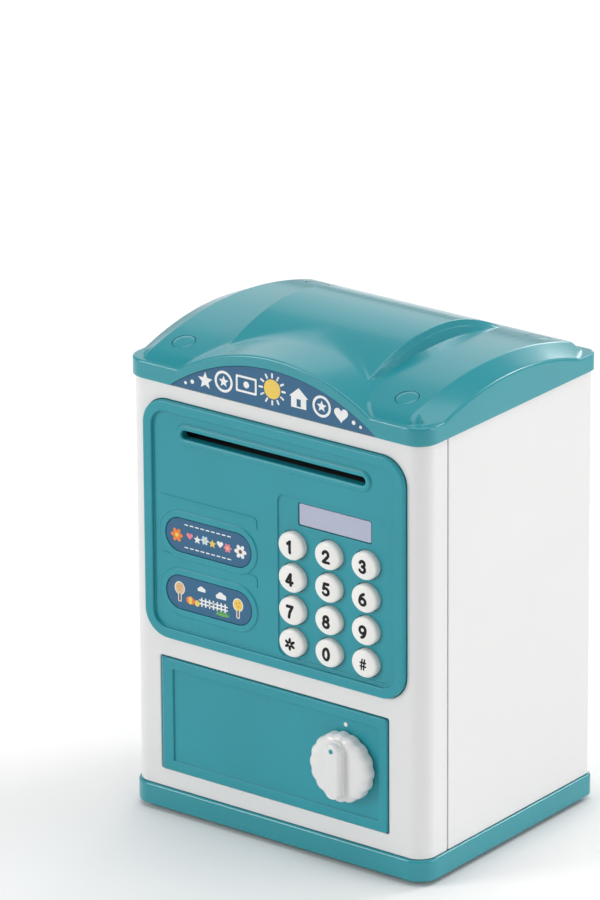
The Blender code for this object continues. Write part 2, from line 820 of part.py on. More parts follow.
def make_knob(face):
    axis = (KNOB_X, face, KNOB_Z)
    tip = face - KNOB_PROUD
    seat = face + 0.7 - GAP

    def turned(bm):
        tube(bm, "Y", (KNOB_X, KNOB_Z), [
            (KNOB_R - 2.0, tip + 3.6), (KNOB_R, tip + 4.6), (KNOB_R, seat), (STEM_R, seat),
            (STEM_R, LATCH_Y[0] - 0.1),
        ], 32)

    knob = piece("door_knob", "white", turned, origin=axis)

    def grip(bm):
        half = KNOB_R - 2.5
        outline = rounded(KNOB_X - 3.2, KNOB_X + 3.2, KNOB_Z - half, KNOB_Z + half, 3.1, 5)
        prism(bm, "Y", outline, tip, tip + 5.0)

    join(knob, grip)

    def latch(bm):
        outline = rounded(KNOB_X - 3.5, KNOB_X + 3.5, KNOB_Z - LATCH_REACH, KNOB_Z + 5, 3.4, 5)
        prism(bm, "Y", outline, LATCH_Y[0] + 0.2, LATCH_Y[1])

    piece("door_latch", "steel", latch, origin=axis)


def make_lock():
    end = BOLT_TIP - BOLT_LONG
    piece("lock_bolt", "steel", lambda bm: tube(
        bm, "Z", (BOLT_X, BOLT_Y), [(BOLT_R, end), (BOLT_R, BOLT_TIP - 0.6), (BOLT_R - 0.4, BOLT_TIP)], 16),
        origin=(BOLT_X, BOLT_Y, BOLT_TIP))
    coil = piece("lock_solenoid", "dark", lambda bm: block(
        bm, (COIL_X[0], INNER_FRONT + GAP, COIL_Z[0]), (COIL_X[1], INNER_FRONT + 11, COIL_Z[1])))
    cut(coil, lambda bm: tube(
        bm, "Z", (BOLT_X, BOLT_Y), [(BOLT_R + 0.2, end - GAP), (BOLT_R + 0.2, COIL_Z[1] + 1)], 16))


# Note feed

def gear_outline(centre, teeth, phase):
    """Trapezoid teeth round a circle; phase is in fractions of one tooth."""
    root_r = GEAR_MODULE * teeth / 2 - GEAR_MODULE
    tip_r = GEAR_MODULE * teeth / 2 + 0.7 * GEAR_MODULE
    points = []
    for i in range(teeth):
        for share, radius in ((-0.25, root_r), (-0.14, tip_r), (0.14, tip_r), (0.25, root_r)):
            angle = 2 * math.pi * (i + phase + share) / teeth
            points.append((centre[0] + radius * math.sin(angle), centre[1] - radius * math.cos(angle)))
    return points


def sleeve(bm, centre, radius, bore, left, right):
    """A roller along X with a hole right through it."""
    steps = 24
    verts = []
    for size, at in ((radius, left), (radius, right), (bore, right), (bore, left)):
        verts.append([bm.verts.new(to_metres((at, u, v))) for u, v in circle(centre, size, steps)])
    faces = []
    for near, far in zip(verts, verts[1:] + verts[:1]):
        for i in range(steps):
            j = (i + 1) % steps
            faces.append(bm.faces.new((near[i], near[j], far[j], far[i])))
    bmesh.ops.recalc_face_normals(bm, faces=faces)


def make_feed():
    drive = (FEED_Y, DRIVE_Z)
    idler = (FEED_Y, IDLER_Z)
    motor = (FEED_Y, MOTOR_Z)
    shaft_left = GEAR_X[0] - 1.5
    shaft_right = CHEEK_X[1] + 1.5
    piece("feed_shaft", "steel", lambda bm: tube(
        bm, "X", drive, [(SHAFT_R, shaft_left), (SHAFT_R, shaft_right)], 20), origin=(0, FEED_Y, DRIVE_Z))

    for name, middle in (("left", -22.0), ("right", 22.0)):
        piece(f"drive_tyre_{name}", "rubber", lambda bm, m=middle: sleeve(
            bm, drive, DRIVE_R, SHAFT_R + 0.05, m - 6, m + 6), origin=(middle, FEED_Y, DRIVE_Z))

    gear = piece("roller_gear", "natural", lambda bm: prism(
        bm, "X", gear_outline(drive, GEAR_TEETH, 0.0), *GEAR_X), origin=(0, FEED_Y, DRIVE_Z), smooth=False)
    cut(gear, lambda bm: tube(
        bm, "X", drive, [(SHAFT_R + 0.05, GEAR_X[0] - 1), (SHAFT_R + 0.05, GEAR_X[1] + 1)], 20))

    pinion = piece("motor_pinion", "natural", lambda bm: prism(
        bm, "X", gear_outline(motor, PINION_TEETH, 0.5), GEAR_X[0] - 0.5, GEAR_X[1] + 0.5),
        origin=(0, FEED_Y, MOTOR_Z), smooth=False)
    cut(pinion, lambda bm: tube(bm, "X", motor, [(0.85, GEAR_X[0] - 2), (0.85, GEAR_X[1] - 0.5)], 12))
    piece("feed_motor", "steel", lambda bm: tube(
        bm, "X", motor, [
            (MOTOR_R, -17.5), (MOTOR_R, 1 - CHEEK_X[0]), (3.0, 1 - CHEEK_X[0]), (3.0, GAP - CHEEK_X[0]),
        ], 24))

    piece("pinch_shaft", "steel", lambda bm: tube(
        bm, "X", idler, [(IDLER_SHAFT_R, -CHEEK_X[1] - 1), (IDLER_SHAFT_R, CHEEK_X[1] + 1)], 20),
        origin=(0, FEED_Y, IDLER_Z))
    piece("pinch_roller", "natural", lambda bm: sleeve(
        bm, idler, IDLER_R, IDLER_SHAFT_R + 0.05, -30, 30), origin=(0, FEED_Y, IDLER_Z))
    make_note_guide(drive, idler, motor)


def make_note_guide(drive, idler, motor):
    low = DECK_Z[1] + GAP
    sheet = 1.5
    front_y, back_y = CHUTE_Y

    def cheeks(bm):
        side = [(-39, 136), (-39, EAVES - 7), (back_y, EAVES - 7), (back_y, low), (front_y - sheet, low),
                (front_y - sheet, 118), (-30, 118), (-39, 124)]
        for x in (-1, 1):
            left, right = sorted((x * CHEEK_X[0], x * CHEEK_X[1]))
            prism(bm, "X", side, left, right)

    guide = piece("note_guide", "natural", cheeks, smooth=False)

    def back_sheet(bm):
        bend = arc((back_y - 12, 140), 12, 0, 80, 8)
        outside = [(back_y, low)] + bend
        inside = [(y - sheet * math.cos(math.radians(a)), z - sheet * math.sin(math.radians(a)))
                  for (y, z), a in zip(bend, [10 * i for i in range(9)])]
        prism(bm, "X", outside + inside[::-1] + [(back_y - sheet, low)], -CHEEK_X[0] - 1, CHEEK_X[0] + 1)

    def front_sheet(bm):
        outline = [(front_y - sheet, low), (front_y, low), (front_y, 141), (-27.5, 145.5), (-28, 144),
                   (front_y - sheet, 140)]
        prism(bm, "X", outline, -CHEEK_X[0] - 1, CHEEK_X[0] + 1)

    def bearings(bm):
        edge = CHEEK_X[1] + 1
        tube(bm, "X", drive, [(SHAFT_R + 0.1, -edge), (SHAFT_R + 0.1, edge)], 20)
        tube(bm, "X", idler, [(IDLER_SHAFT_R + 0.1, -edge), (IDLER_SHAFT_R + 0.1, edge)], 20)

    join(guide, back_sheet)
    join(guide, front_sheet)
    cut(guide, bearings)


# Inner deck, coin chute, speaker

def make_inside():
    half_x = HALF_W - WALL - GAP
    low_y = FRONT + SEAM + 1.0
    deck = piece("inner_deck", "natural", lambda bm: prism(
        bm, "Z", rounded(-half_x, half_x, low_y, HALF_D - WALL - GAP, 5.4, 4), *DECK_Z))
    chute_x = COIN_LONG / 2 + 1.0
    chute_y = 3.0
    wall = COIN_CHUTE_WALL
    below = DECK_Z[0] - 1
    above = DECK_Z[1] + 1

    def deck_holes(bm):
        block(bm, (1 - CHEEK_X[0], CHUTE_Y[0] + 0.3, below), (CHEEK_X[0] - 1, CHUTE_Y[1] - 1.8, above))
        block(bm, (-chute_x, COIN_Y - chute_y, below), (chute_x, COIN_Y + chute_y, above))

    cut(deck, deck_holes)

    chute = piece("coin_chute", "natural", lambda bm: block(
        bm, (-chute_x - wall, COIN_Y - chute_y - wall, DECK_Z[1] + GAP),
        (chute_x + wall, COIN_Y + chute_y + wall, EAVES + 4.5)), smooth=False)
    cut(chute, lambda bm: block(
        bm, (-chute_x, COIN_Y - chute_y, DECK_Z[1] - 1), (chute_x, COIN_Y + chute_y, EAVES + 6)))

    back = HALF_D - WALL - GAP
    piece("speaker", "dark", lambda bm: tube(
        bm, "Y", (0, SPEAKER_Z),
        [(10.0, back - 6.0), (10.0, back - 3.0), (SPEAKER_R, back - 1.2), (SPEAKER_R, back)], 32))


clear_scene()
make_base()
make_front_shell()
make_rear_shell()
make_roof()
make_panel()
make_door()
make_lock()
make_feed()
make_inside()
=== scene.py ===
"""Looks of the toy cash-machine savings bank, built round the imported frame. Lengths are in millimetres."""

import json
import math

import bmesh
import bpy
import numpy as np
from mathutils import Matrix, Vector, geometry


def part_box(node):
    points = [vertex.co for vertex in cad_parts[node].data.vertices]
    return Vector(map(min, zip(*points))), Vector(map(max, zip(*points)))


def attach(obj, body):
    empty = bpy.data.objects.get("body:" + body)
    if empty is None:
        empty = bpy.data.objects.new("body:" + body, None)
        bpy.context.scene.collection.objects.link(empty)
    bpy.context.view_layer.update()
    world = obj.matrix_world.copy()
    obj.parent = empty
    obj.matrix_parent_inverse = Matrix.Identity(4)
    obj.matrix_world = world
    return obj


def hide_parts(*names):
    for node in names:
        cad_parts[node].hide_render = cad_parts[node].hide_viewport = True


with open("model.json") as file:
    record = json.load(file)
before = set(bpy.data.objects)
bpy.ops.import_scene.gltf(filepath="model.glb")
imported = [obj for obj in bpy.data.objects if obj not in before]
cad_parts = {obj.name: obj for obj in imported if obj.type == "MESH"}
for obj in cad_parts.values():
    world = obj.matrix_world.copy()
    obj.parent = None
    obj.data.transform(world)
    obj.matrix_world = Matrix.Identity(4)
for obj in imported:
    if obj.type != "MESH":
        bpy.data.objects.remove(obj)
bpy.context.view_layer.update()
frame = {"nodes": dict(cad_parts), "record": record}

MM = 0.001
MICRON = 0.000001
GAP = 0.3


def box(node):
    """Lowest and highest corner of a CAD node, in millimetres."""
    low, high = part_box(node)
    return Vector(low) / MM, Vector(high) / MM


def middle(node):
    low, high = box(node)
    return (low + high) / 2


def front_middle(node):
    """Middle of a node as seen from the front: across and up."""
    place = middle(node)
    return place.x, place.z


def link_new(name, data):
    made = bpy.data.objects.new(name, data)
    bpy.context.scene.collection.objects.link(made)
    return made


# Sizes read from the frame

ROOF_LOW, ROOF_HIGH = box("roof")
ROOF_W = ROOF_HIGH.x
ROOF_D = (ROOF_HIGH.y - ROOF_LOW.y) / 2
MIDDLE_Y = (ROOF_HIGH.y + ROOF_LOW.y) / 2
EAVES = ROOF_LOW.z
SHELL_LOW, SHELL_HIGH = box("front_shell")
REAR_LOW, REAR_HIGH = box("rear_shell")
CASE_W = SHELL_HIGH.x
CASE_FRONT = SHELL_LOW.y
CASE_BACK = REAR_HIGH.y
FRONT_CORNER = 6.8
REAR_CORNER = 3.0
OVERHANG = 1.0
WALL = 2.2
FRONT_SEAM = REAR_LOW.y - GAP
SEAM_SHOW = 0.35


# Camera, light and floor

def make_camera():
    azimuth, pitch, roll = (math.radians(a) for a in (37.435, 20.371, -0.384))
    level = math.cos(pitch)
    ahead = Vector((-math.sin(azimuth) * level, math.cos(azimuth) * level, -math.sin(pitch)))
    right = Vector((math.cos(azimuth), math.sin(azimuth), 0.0))
    up = right.cross(ahead)
    turned_right = right * math.cos(roll) + up * math.sin(roll)
    turned_up = up * math.cos(roll) - right * math.sin(roll)
    data = bpy.data.cameras.new("camera")
    data.lens = 272.16
    data.sensor_width = 36.0
    data.clip_end = 50.0
    camera = link_new("camera", data)
    basis = Matrix((turned_right, turned_up, -ahead)).transposed()
    camera.matrix_world = Matrix.Translation((1.36056, -1.80931, 0.97702)) @ basis.to_4x4()
    bpy.context.scene.camera = camera


def area_light(name, place, size, power):
    """Soft box that looks at the middle of the bank; places and sizes are in metres."""
    data = bpy.data.lights.new(name, "AREA")
    data.shape = "RECTANGLE"
    data.size, data.size_y = size
    data.energy = power
    light = link_new(name, data)
    light.location = place
    toward = Vector((0.0, 0.0, 0.1)) - Vector(place)
    light.rotation_euler = toward.to_track_quat("-Z", "Y").to_euler()


def make_floor():
    bm = bmesh.new()
    bmesh.ops.create_grid(bm, x_segments=8, y_segments=8, size=6.0)
    mesh = bpy.data.meshes.new("floor")
    bm.to_mesh(mesh)
    bm.free()
    floor = link_new("floor", mesh)
    paint = bpy.data.materials.new("floor_paint")
    paint.use_nodes = True
    shader = paint.node_tree.nodes["Principled BSDF"]
    shader.inputs["Base Color"].default_value = (0.96, 0.96, 0.96, 1.0)
    shader.inputs["Roughness"].default_value = 0.9
    mesh.materials.append(paint)


def make_studio():
    world = bpy.data.worlds.new("studio")
    world.use_nodes = True
    back = world.node_tree.nodes["Background"]
    back.inputs["Color"].default_value = (1.0, 1.0, 1.0, 1.0)
    back.inputs["Strength"].default_value = 0.32
    bpy.context.scene.world = world
    bpy.context.scene.view_settings.view_transform = "Standard"
    area_light("softbox_back", (-1.1, 1.6, 0.9), (2.4, 1.2), 5.4)
    area_light("softbox_low_back", (-0.65, 1.85, 0.75), (0.6, 0.4), 3.0)
    area_light("softbox_edge", (0.8, 1.7, 1.4), (0.65, 0.65), 13.0)
    area_light("softbox_top", (0.0, 0.1, 2.4), (2.4, 2.0), 26.0)
    area_light("softbox_right", (1.9, 0.6, 0.5), (1.0, 1.2), 13.5)
    area_light("softbox_left", (-1.3, -1.7, 0.9), (0.8, 1.2), 20.5)
    make_floor()


# Materials

class Nodes:
    """A short way to wire a material's nodes."""

    def __init__(self, name):
        self.material = bpy.data.materials.new(name)
        self.material.use_nodes = True
        self.tree = self.material.node_tree
        self.shader = self.tree.nodes["Principled BSDF"]

    def add(self, kind, values=(), **settings):
        node = self.tree.nodes.new(kind)
        for key, value in settings.items():
            setattr(node, key, value)
        for key, value in dict(values).items():
            if isinstance(value, bpy.types.NodeSocket):
                self.tree.links.new(value, node.inputs[key])
            else:
                node.inputs[key].default_value = value
        return node

    def link(self, output, socket):
        self.tree.links.new(output, self.shader.inputs[socket])

    def place(self, stretch=(1.0, 1.0, 1.0)):
        """Object coordinates in metres, stretched for grain that runs one way."""
        coordinates = self.add("ShaderNodeTexCoord")
        mapping = self.add("ShaderNodeMapping", {"Vector": coordinates.outputs["Object"], "Scale": stretch})
        return mapping.outputs["Vector"]

    def noise(self, place, scale, detail=3.0, roughness=0.5):
        node = self.add("ShaderNodeTexNoise", {
            "Vector": place, "Scale": scale, "Detail": detail, "Roughness": roughness})
        return node.outputs["Fac"]

    def spread(self, noise, low, high):
        """Spreads the middle of a noise's range over low to high."""
        node = self.add("ShaderNodeMapRange", {
            "Value": noise, "From Min": 0.3, "From Max": 0.7, "To Min": low, "To Max": high})
        return node.outputs["Result"]

    def tint(self, colour, noise, amount):
        """The colour made a little darker or lighter by a noise."""
        value = self.spread(noise, 0.0, 1.0)
        dark = tuple(c * (1 - amount) for c in colour)
        light = tuple(min(1.0, c * (1 + amount)) for c in colour)
        mix = self.add("ShaderNodeMix", data_type="RGBA")
        mix.inputs[6].default_value = (*dark, 1.0)
        mix.inputs[7].default_value = (*light, 1.0)
        self.tree.links.new(value, mix.inputs[0])
        return mix.outputs[2]

    def bump(self, layers):
        """Bump from several heights, each a value and a depth in metres."""
        normal = None
        for value, depth in layers:
            node = self.add("ShaderNodeBump", {"Height": value, "Strength": 1.0, "Distance": depth})
            if normal is not None:
                self.tree.links.new(normal, node.inputs["Normal"])
            normal = node.outputs["Normal"]
        self.link(normal, "Normal")


def moulded(name, colour, roughness, tint, peel, grain, stretch=(1, 1, 1), specular=0.5, coat=0.0):
    """Injection-moulded plastic: faint flow marks in its colour, orange peel, and fine grain in its gloss."""
    made = Nodes(name)
    broad = made.noise(made.place(), 22.0, 3.0)
    fine = made.noise(made.place(stretch), 2600.0, 2.0)
    speckle = made.noise(made.place(), 900.0, 4.0, 0.6)
    soft = made.noise(made.place(), 130.0, 2.0)
    made.link(made.tint(colour, broad, tint), "Base Color")
    made.link(made.spread(speckle, roughness - 0.015, roughness + 0.015), "Roughness")
    made.bump([(soft, peel * MICRON), (fine, grain * MICRON)])
    made.shader.inputs["Specular IOR Level"].default_value = specular
    made.shader.inputs["Coat Weight"].default_value = coat
    made.shader.inputs["Coat Roughness"].default_value = 0.12
    return made.material


def metal(name, colour, roughness, stretch):
    """Turned or drawn metal with fine marks along one direction."""
    made = Nodes(name)
    marks = made.noise(made.place(stretch), 900.0, 3.0)
    broad = made.noise(made.place(), 60.0, 2.0)
    made.link(made.tint(colour, broad, 0.06), "Base Color")
    made.link(made.spread(marks, roughness - 0.07, roughness + 0.1), "Roughness")
    made.bump([(marks, 10 * MICRON)])
    made.shader.inputs["Metallic"].default_value = 1.0
    return made.material


def soft_rubber(name, colour):
    made = Nodes(name)
    grain = made.noise(made.place(), 1500.0, 4.0, 0.7)
    made.link(made.tint(colour, made.noise(made.place(), 80.0), 0.12), "Base Color")
    made.link(made.spread(grain, 0.65, 0.85), "Roughness")
    made.bump([(grain, 30 * MICRON)])
    return made.material


PRINT = (0.36, 0.04, 4, 4)
MOULDED = {
    # colour, roughness, change of colour, depth of the peel and of the grain in microns, and the rest
    "teal_plastic": ((0.012, 0.290, 0.345), 0.24, 0.03, 4, 0.5, {"coat": 0.35}),
    "panel_plastic": ((0.014, 0.300, 0.362), 0.36, 0.04, 10, 10, {"stretch": (0.06, 1, 1)}),
    "white_plastic": ((0.800, 0.800, 0.795), 0.24, 0.012, 5, 1, {"coat": 0.15}),
    "label_print": ((0.018, 0.115, 0.235), 0.34, 0.06, 4, 4, {}),
    "key_plastic": ((0.90, 0.89, 0.86), 0.30, 0.02, 6, 2, {}),
    "display_film": ((0.46, 0.49, 0.62), 0.20, 0.03, 3, 2, {}),
    "circuit_board": ((0.02, 0.16, 0.06), 0.35, 0.2, 10, 10, {}),
    "dark_plastic": ((0.025, 0.026, 0.028), 0.45, 0.1, 10, 10, {}),
    "natural_plastic": ((0.70, 0.68, 0.62), 0.42, 0.05, 20, 10, {}),
    "battery_cell": ((0.03, 0.035, 0.045), 0.25, 0.1, 4, 4, {"coat": 0.5}),
    "ink": ((0.006, 0.006, 0.007), 0.5, 0.1, 6, 6, {"specular": 0.25}),
    "white": ((0.86, 0.87, 0.86), *PRINT, {}),
    "orange": ((0.85, 0.22, 0.03), *PRINT, {}),
    "yellow": ((0.86, 0.60, 0.10), *PRINT, {}),
    "green": ((0.12, 0.42, 0.08), *PRINT, {}),
    "pink": ((0.82, 0.22, 0.30), *PRINT, {}),
    "tan": ((0.72, 0.50, 0.26), *PRINT, {}),
    "brown": ((0.16, 0.07, 0.03), *PRINT, {}),
    "sky": ((0.55, 0.75, 0.88), *PRINT, {}),
}
PAINT = {name: moulded(name, *values, **rest) for name, (*values, rest) in MOULDED.items()}
PAINT["rubber"] = soft_rubber("rubber", (0.030, 0.030, 0.033))
PAINT["steel"] = metal("steel", (0.56, 0.57, 0.58), 0.30, (0.1, 1, 1))


# Outlines: a shape is a function that gives its outline grown by an offset

def around(centre, radius, angle):
    """The point at a radius and an angle, in radians, from a centre."""
    return centre[0] + radius * math.cos(angle), centre[1] + radius * math.sin(angle)


def arc(centre, radius, start, end, steps):
    """Points along an arc from one angle to another, in degrees."""
    angles = (math.radians(start + (end - start) * i / steps) for i in range(steps + 1))
    return [around(centre, radius, angle) for angle in angles]


def rectangle(left, right, low, high, radius, steps=8):
    def outline(offset=0.0):
        r = max(radius + offset, 0.02)
        a, b, c, d = left - offset, right + offset, low - offset, high + offset
        return (arc((b - r, c + r), r, -90, 0, steps) + arc((b - r, d - r), r, 0, 90, steps)
                + arc((a + r, d - r), r, 90, 180, steps) + arc((a + r, c + r), r, 180, 270, steps))
    return outline


def base_outline(offset=0.0, steps=12):
    """Plan of the base: large round corners in front and small ones at the back."""
    front = FRONT_CORNER + OVERHANG + offset
    rear = max(REAR_CORNER + OVERHANG + offset, 0.3)
    w, low, high = ROOF_W + offset, MIDDLE_Y - ROOF_D - offset, MIDDLE_Y + ROOF_D + offset
    return (arc((w - front, low + front), front, -90, 0, steps)
            + arc((w - rear, high - rear), rear, 0, 90, steps)
            + arc((rear - w, high - rear), rear, 90, 180, steps)
            + arc((front - w, low + front), front, 180, 270, steps))


def disc(centre, radius, steps=32):
    def outline(offset=0.0):
        return arc(centre, radius + offset, 0, 360 - 360 / steps, steps - 1)
    return outline


def oval(shape, centre_x, stretch):
    """The same outline, stretched sideways about a centre line."""
    return lambda offset=0.0: [(centre_x + (u - centre_x) * stretch, v) for u, v in shape(offset)]


def pill(centre, width, height, steps=12):
    half_w, half_h = width / 2, height / 2
    return rectangle(centre[0] - half_w, centre[0] + half_w, centre[1] - half_h, centre[1] + half_h,
                     half_h - 0.01, steps)


def round_off(start, end, outward, steps=4):
    """Quarter bend between two (offset, height) points; outward sets off along the surface, then drops."""
    points = []
    for i in range(1, steps):
        t = math.pi / 2 * i / steps
        slide, drop = (math.sin(t), 1 - math.cos(t)) if outward else (1 - math.cos(t), math.sin(t))
        points.append((start[0] + (end[0] - start[0]) * slide, start[1] + (end[1] - start[1]) * drop))
    return [start, *points, end]


# Meshes

class Solid:
    """A closed mesh built from rings of points and flat fills; place puts (u, v, height) in space."""

    def __init__(self, place):
        self.place = place
        self.points = []
        self.flat = []
        self.faces = []
        self.paint = []

    def ring(self, outline, height):
        first = len(self.points)
        for u, v in outline:
            self.points.append(self.place(u, v, height))
            self.flat.append((u, v))
        return list(range(first, len(self.points)))

    def face(self, indices, paint=0):
        self.faces.append(indices)
        self.paint.append(paint)

    def bridge(self, near, far, paint=0):
        count = len(near)
        for i in range(count):
            j = (i + 1) % count
            self.face([near[i], near[j], far[j], far[i]], paint)

    def loft(self, rings):
        for near, far in zip(rings, rings[1:]):
            self.bridge(near, far)

    def sweep(self, shape, profile):
        rings = [self.ring(shape(offset), height) for offset, height in profile]
        self.loft(rings)
        return rings[0], rings[-1]

    def slab(self, shape, profile):
        """A sweep with both of its ends filled."""
        for end in self.sweep(shape, profile):
            self.fill(end)

    def prism(self, outline, low, high):
        ends = [self.ring(outline, low), self.ring(outline, high)]
        self.bridge(*ends)
        for end in ends:
            self.face(end)

    def fill(self, outer, holes=(), paint=0):
        """Flat triangles inside a ring and outside the hole rings."""
        loops = [outer, *holes]
        index = [i for loop in loops for i in loop]
        flat = [Vector(self.flat[i]) for i in index]
        edges = []
        start = 0
        for loop in loops:
            count = len(loop)
            edges += [(start + k, start + (k + 1) % count) for k in range(count)]
            start += count
        ends = np.array([[(*flat[a], *flat[b])] for a, b in edges]).reshape(-1, 4)
        corners, _, triangles, origin, _, _ = geometry.delaunay_2d_cdt(flat, edges, [], 0, 1e-7)
        for triangle in triangles:
            x, y = sum((corners[k] for k in triangle), Vector((0.0, 0.0))) / 3
            x0, y0, x1, y1 = ends.T
            spans = (y0 > y) != (y1 > y)
            with np.errstate(divide="ignore", invalid="ignore"):
                crossing = x0 + (y - y0) * (x1 - x0) / (y1 - y0)
            if np.count_nonzero(spans & (crossing > x)) % 2:
                self.face([index[origin[k][0]] for k in triangle], paint)

    def turned(self, centre, profile, steps):
        """Closed solid of revolution about the height axis: (radius, height) from one pole to the other."""
        rings = [self.ring(disc(centre, radius, steps)(), height) for radius, height in profile]
        self.loft(rings)
        self.face(rings[0])
        self.face(rings[-1])


def solid_mesh(name, solid):
    """The mesh of a solid, its faces turned outwards."""
    mesh = bpy.data.meshes.new(name)
    mesh.from_pydata([Vector(p) * MM for p in solid.points], [], solid.faces)
    bm = bmesh.new()
    bm.from_mesh(mesh)
    bmesh.ops.recalc_face_normals(bm, faces=bm.faces)
    bm.to_mesh(mesh)
    bm.free()
    return mesh


def shade(mesh, angle):
    mesh.shade_smooth()
    mesh.set_sharp_from_angle(angle=math.radians(angle))


def finish_piece(piece, body, replaces, weighted):
    if weighted:
        modifier = piece.modifiers.new("even_shading", "WEIGHTED_NORMAL")
        modifier.keep_sharp = True
    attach(piece, body)
    if replaces:
        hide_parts(*replaces)


def add_piece(name, solid, paints, body, replaces=(), angle=38, weighted=True):
    mesh = solid_mesh(name, solid)
    for paint in paints:
        mesh.materials.append(PAINT[paint])
    mesh.polygons.foreach_set("material_index", solid.paint)
    shade(mesh, angle)
    finish_piece(link_new(name, mesh), body, replaces, weighted)


def front_of(y):
    return lambda u, v, height: (u, y - height, v)


def upward(z):
    return lambda u, v, height: (u, v, z + height)


# Case shells

PANEL_CORNER = 10.0
GRILLE_HOLE_R = 1.3


def wrap_shell(name, sign, seam, openings, replaces):
    """One half of the case: a flat front or back, two round corners and two sides, open at the seam."""
    wall_y = CASE_FRONT if sign < 0 else CASE_BACK
    low, high = SHELL_LOW.z, SHELL_HIGH.z
    corner_radius = FRONT_CORNER if sign < 0 else REAR_CORNER
    centre = (CASE_W - corner_radius, wall_y - sign * corner_radius)
    solid = Solid(lambda u, v, height: (u, height, v))
    edge = 0.35

    def corner(side, radius):
        bend = arc((centre[0], 0.0), radius, 0, 90, 12)
        return [(side * x, centre[1] + sign * y) for x, y in bend]

    def lip(side, inner):
        x = CASE_W - (WALL if inner else 0)
        step = -1 if inner else 1
        points = []
        for i in range(5):
            a = math.pi / 2 * i / 4
            inward = step * edge * (1 - math.cos(a))
            points.append((side * (x - inward), seam + sign * edge * (1 - math.sin(a))))
        return points[::-1]

    right = lip(1, False) + corner(1, corner_radius)
    left = lip(-1, False) + corner(-1, corner_radius)
    inner_right = lip(1, True) + corner(1, corner_radius - WALL)
    inner_left = lip(-1, True) + corner(-1, corner_radius - WALL)
    loop = right + left[::-1] + inner_left + inner_right[::-1]
    columns = [(solid.ring([(x, low)], y)[0], solid.ring([(x, high)], y)[0]) for x, y in loop]
    flat_outer = len(right) - 1
    flat_inner = len(right) + len(left) + len(inner_left) - 1
    for i in range(len(columns)):
        j = (i + 1) % len(columns)
        if i not in (flat_outer, flat_inner):
            solid.face([columns[i][0], columns[j][0], columns[j][1], columns[i][1]])
    for end in (0, 1):
        for i in range(len(columns) // 2 - 1):
            j = len(columns) - 1 - i
            solid.face([columns[i][end], columns[i + 1][end], columns[j - 1][end], columns[j][end]])
    outer_holes = []
    inner_holes = []
    for shape, round_edge in openings:
        profile = round_off((round_edge, 0.0), (0.0, -round_edge), True) + [(0.0, -WALL)]
        rings = [solid.ring(shape(offset), wall_y + sign * height) for offset, height in profile]
        solid.loft(rings)
        outer_holes.append(rings[0])
        inner_holes.append(rings[-1])
    for at, holes in ((flat_outer, outer_holes), (flat_inner, inner_holes)):
        a, b = columns[at], columns[at + 1]
        solid.fill([a[0], b[0], b[1], a[1]], holes)
    add_piece(name, solid, ["white_plastic"], "case", replaces)


def add_blocks(name, blocks):
    """White blocks of the case with small round edges, each given by two corners."""
    bm = bmesh.new()
    for low, high in blocks:
        size = Vector(high) - Vector(low)
        centre = (Vector(high) + Vector(low)) / 2
        matrix = Matrix.Translation(centre * MM) @ Matrix.Diagonal((*(size * MM), 1.0))
        made = bmesh.ops.create_cube(bm, size=1.0, matrix=matrix)
        edges = list({e for v in made["verts"] for e in v.link_edges})
        bmesh.ops.bevel(bm, geom=edges, offset=0.4 * MM, segments=3, profile=0.5, affect="EDGES")
    mesh = bpy.data.meshes.new(name)
    bm.to_mesh(mesh)
    bm.free()
    mesh.materials.append(PAINT["white_plastic"])
    shade(mesh, 38)
    finish_piece(link_new(name, mesh), "case", (), True)


def panel_edges():
    low, high = box("control_panel")
    side, ends = 0.7, 2.2
    return low.x + side, high.x - side, low.z + ends, high.z - ends


def door_edges():
    low, high = box("door")
    return low.x - GAP, high.x + GAP, low.z - GAP, high.z + GAP


def make_case():
    left, right, low, high = panel_edges()
    panel_hole = rectangle(left - GAP, right + GAP, low - GAP, high + GAP, PANEL_CORNER + GAP, 12)
    door_hole = rectangle(*door_edges(), 0.8, 4)
    wrap_shell("front_case", -1, FRONT_SEAM, [(panel_hole, 0.15), (door_hole, 0.45)], ["front_shell"])
    speaker = (0.0, middle("speaker").z)
    holes = []
    for count, radius in ((1, 0.0), (6, 5.0), (12, 10.0)):
        for i in range(count):
            holes.append((disc(around(speaker, radius, 2 * math.pi * i / count), GRILLE_HOLE_R, 16), 0.3))
    wrap_shell("rear_case", 1, REAR_LOW.y + SEAM_SHOW, holes, ["rear_shell"])
    make_case_fittings()


def make_case_fittings():
    pin_low, pin_high = box("door_hinge_pin")
    pin = middle("door_hinge_pin")
    _, door_right, door_low, door_high = door_edges()
    wall = CASE_FRONT + WALL
    blocks = []
    for foot, head in ((pin_low.z - 1.4, door_low + 0.2), (door_high - 0.2, pin_high.z + 2.7)):
        blocks.append(((pin.x - 4, wall - 0.6, foot), (pin.x + 4, wall + 2.5, head)))
    strike = door_right + GAP
    blocks.append(((strike, wall - 0.6, door_high - 8), (strike + 2.7, wall + 2.1, door_high - 1)))
    deck = box("inner_deck")[0]
    for side in (-1, 1):
        inside = side * (CASE_W - WALL)
        near, far = sorted((inside + side * 0.6, inside - side * 2.5))
        blocks.append(((near, MIDDLE_Y - 34, deck.z - 3.0), (far, MIDDLE_Y + 40, deck.z - GAP)))
    add_blocks("case_fittings", blocks)


# Roof

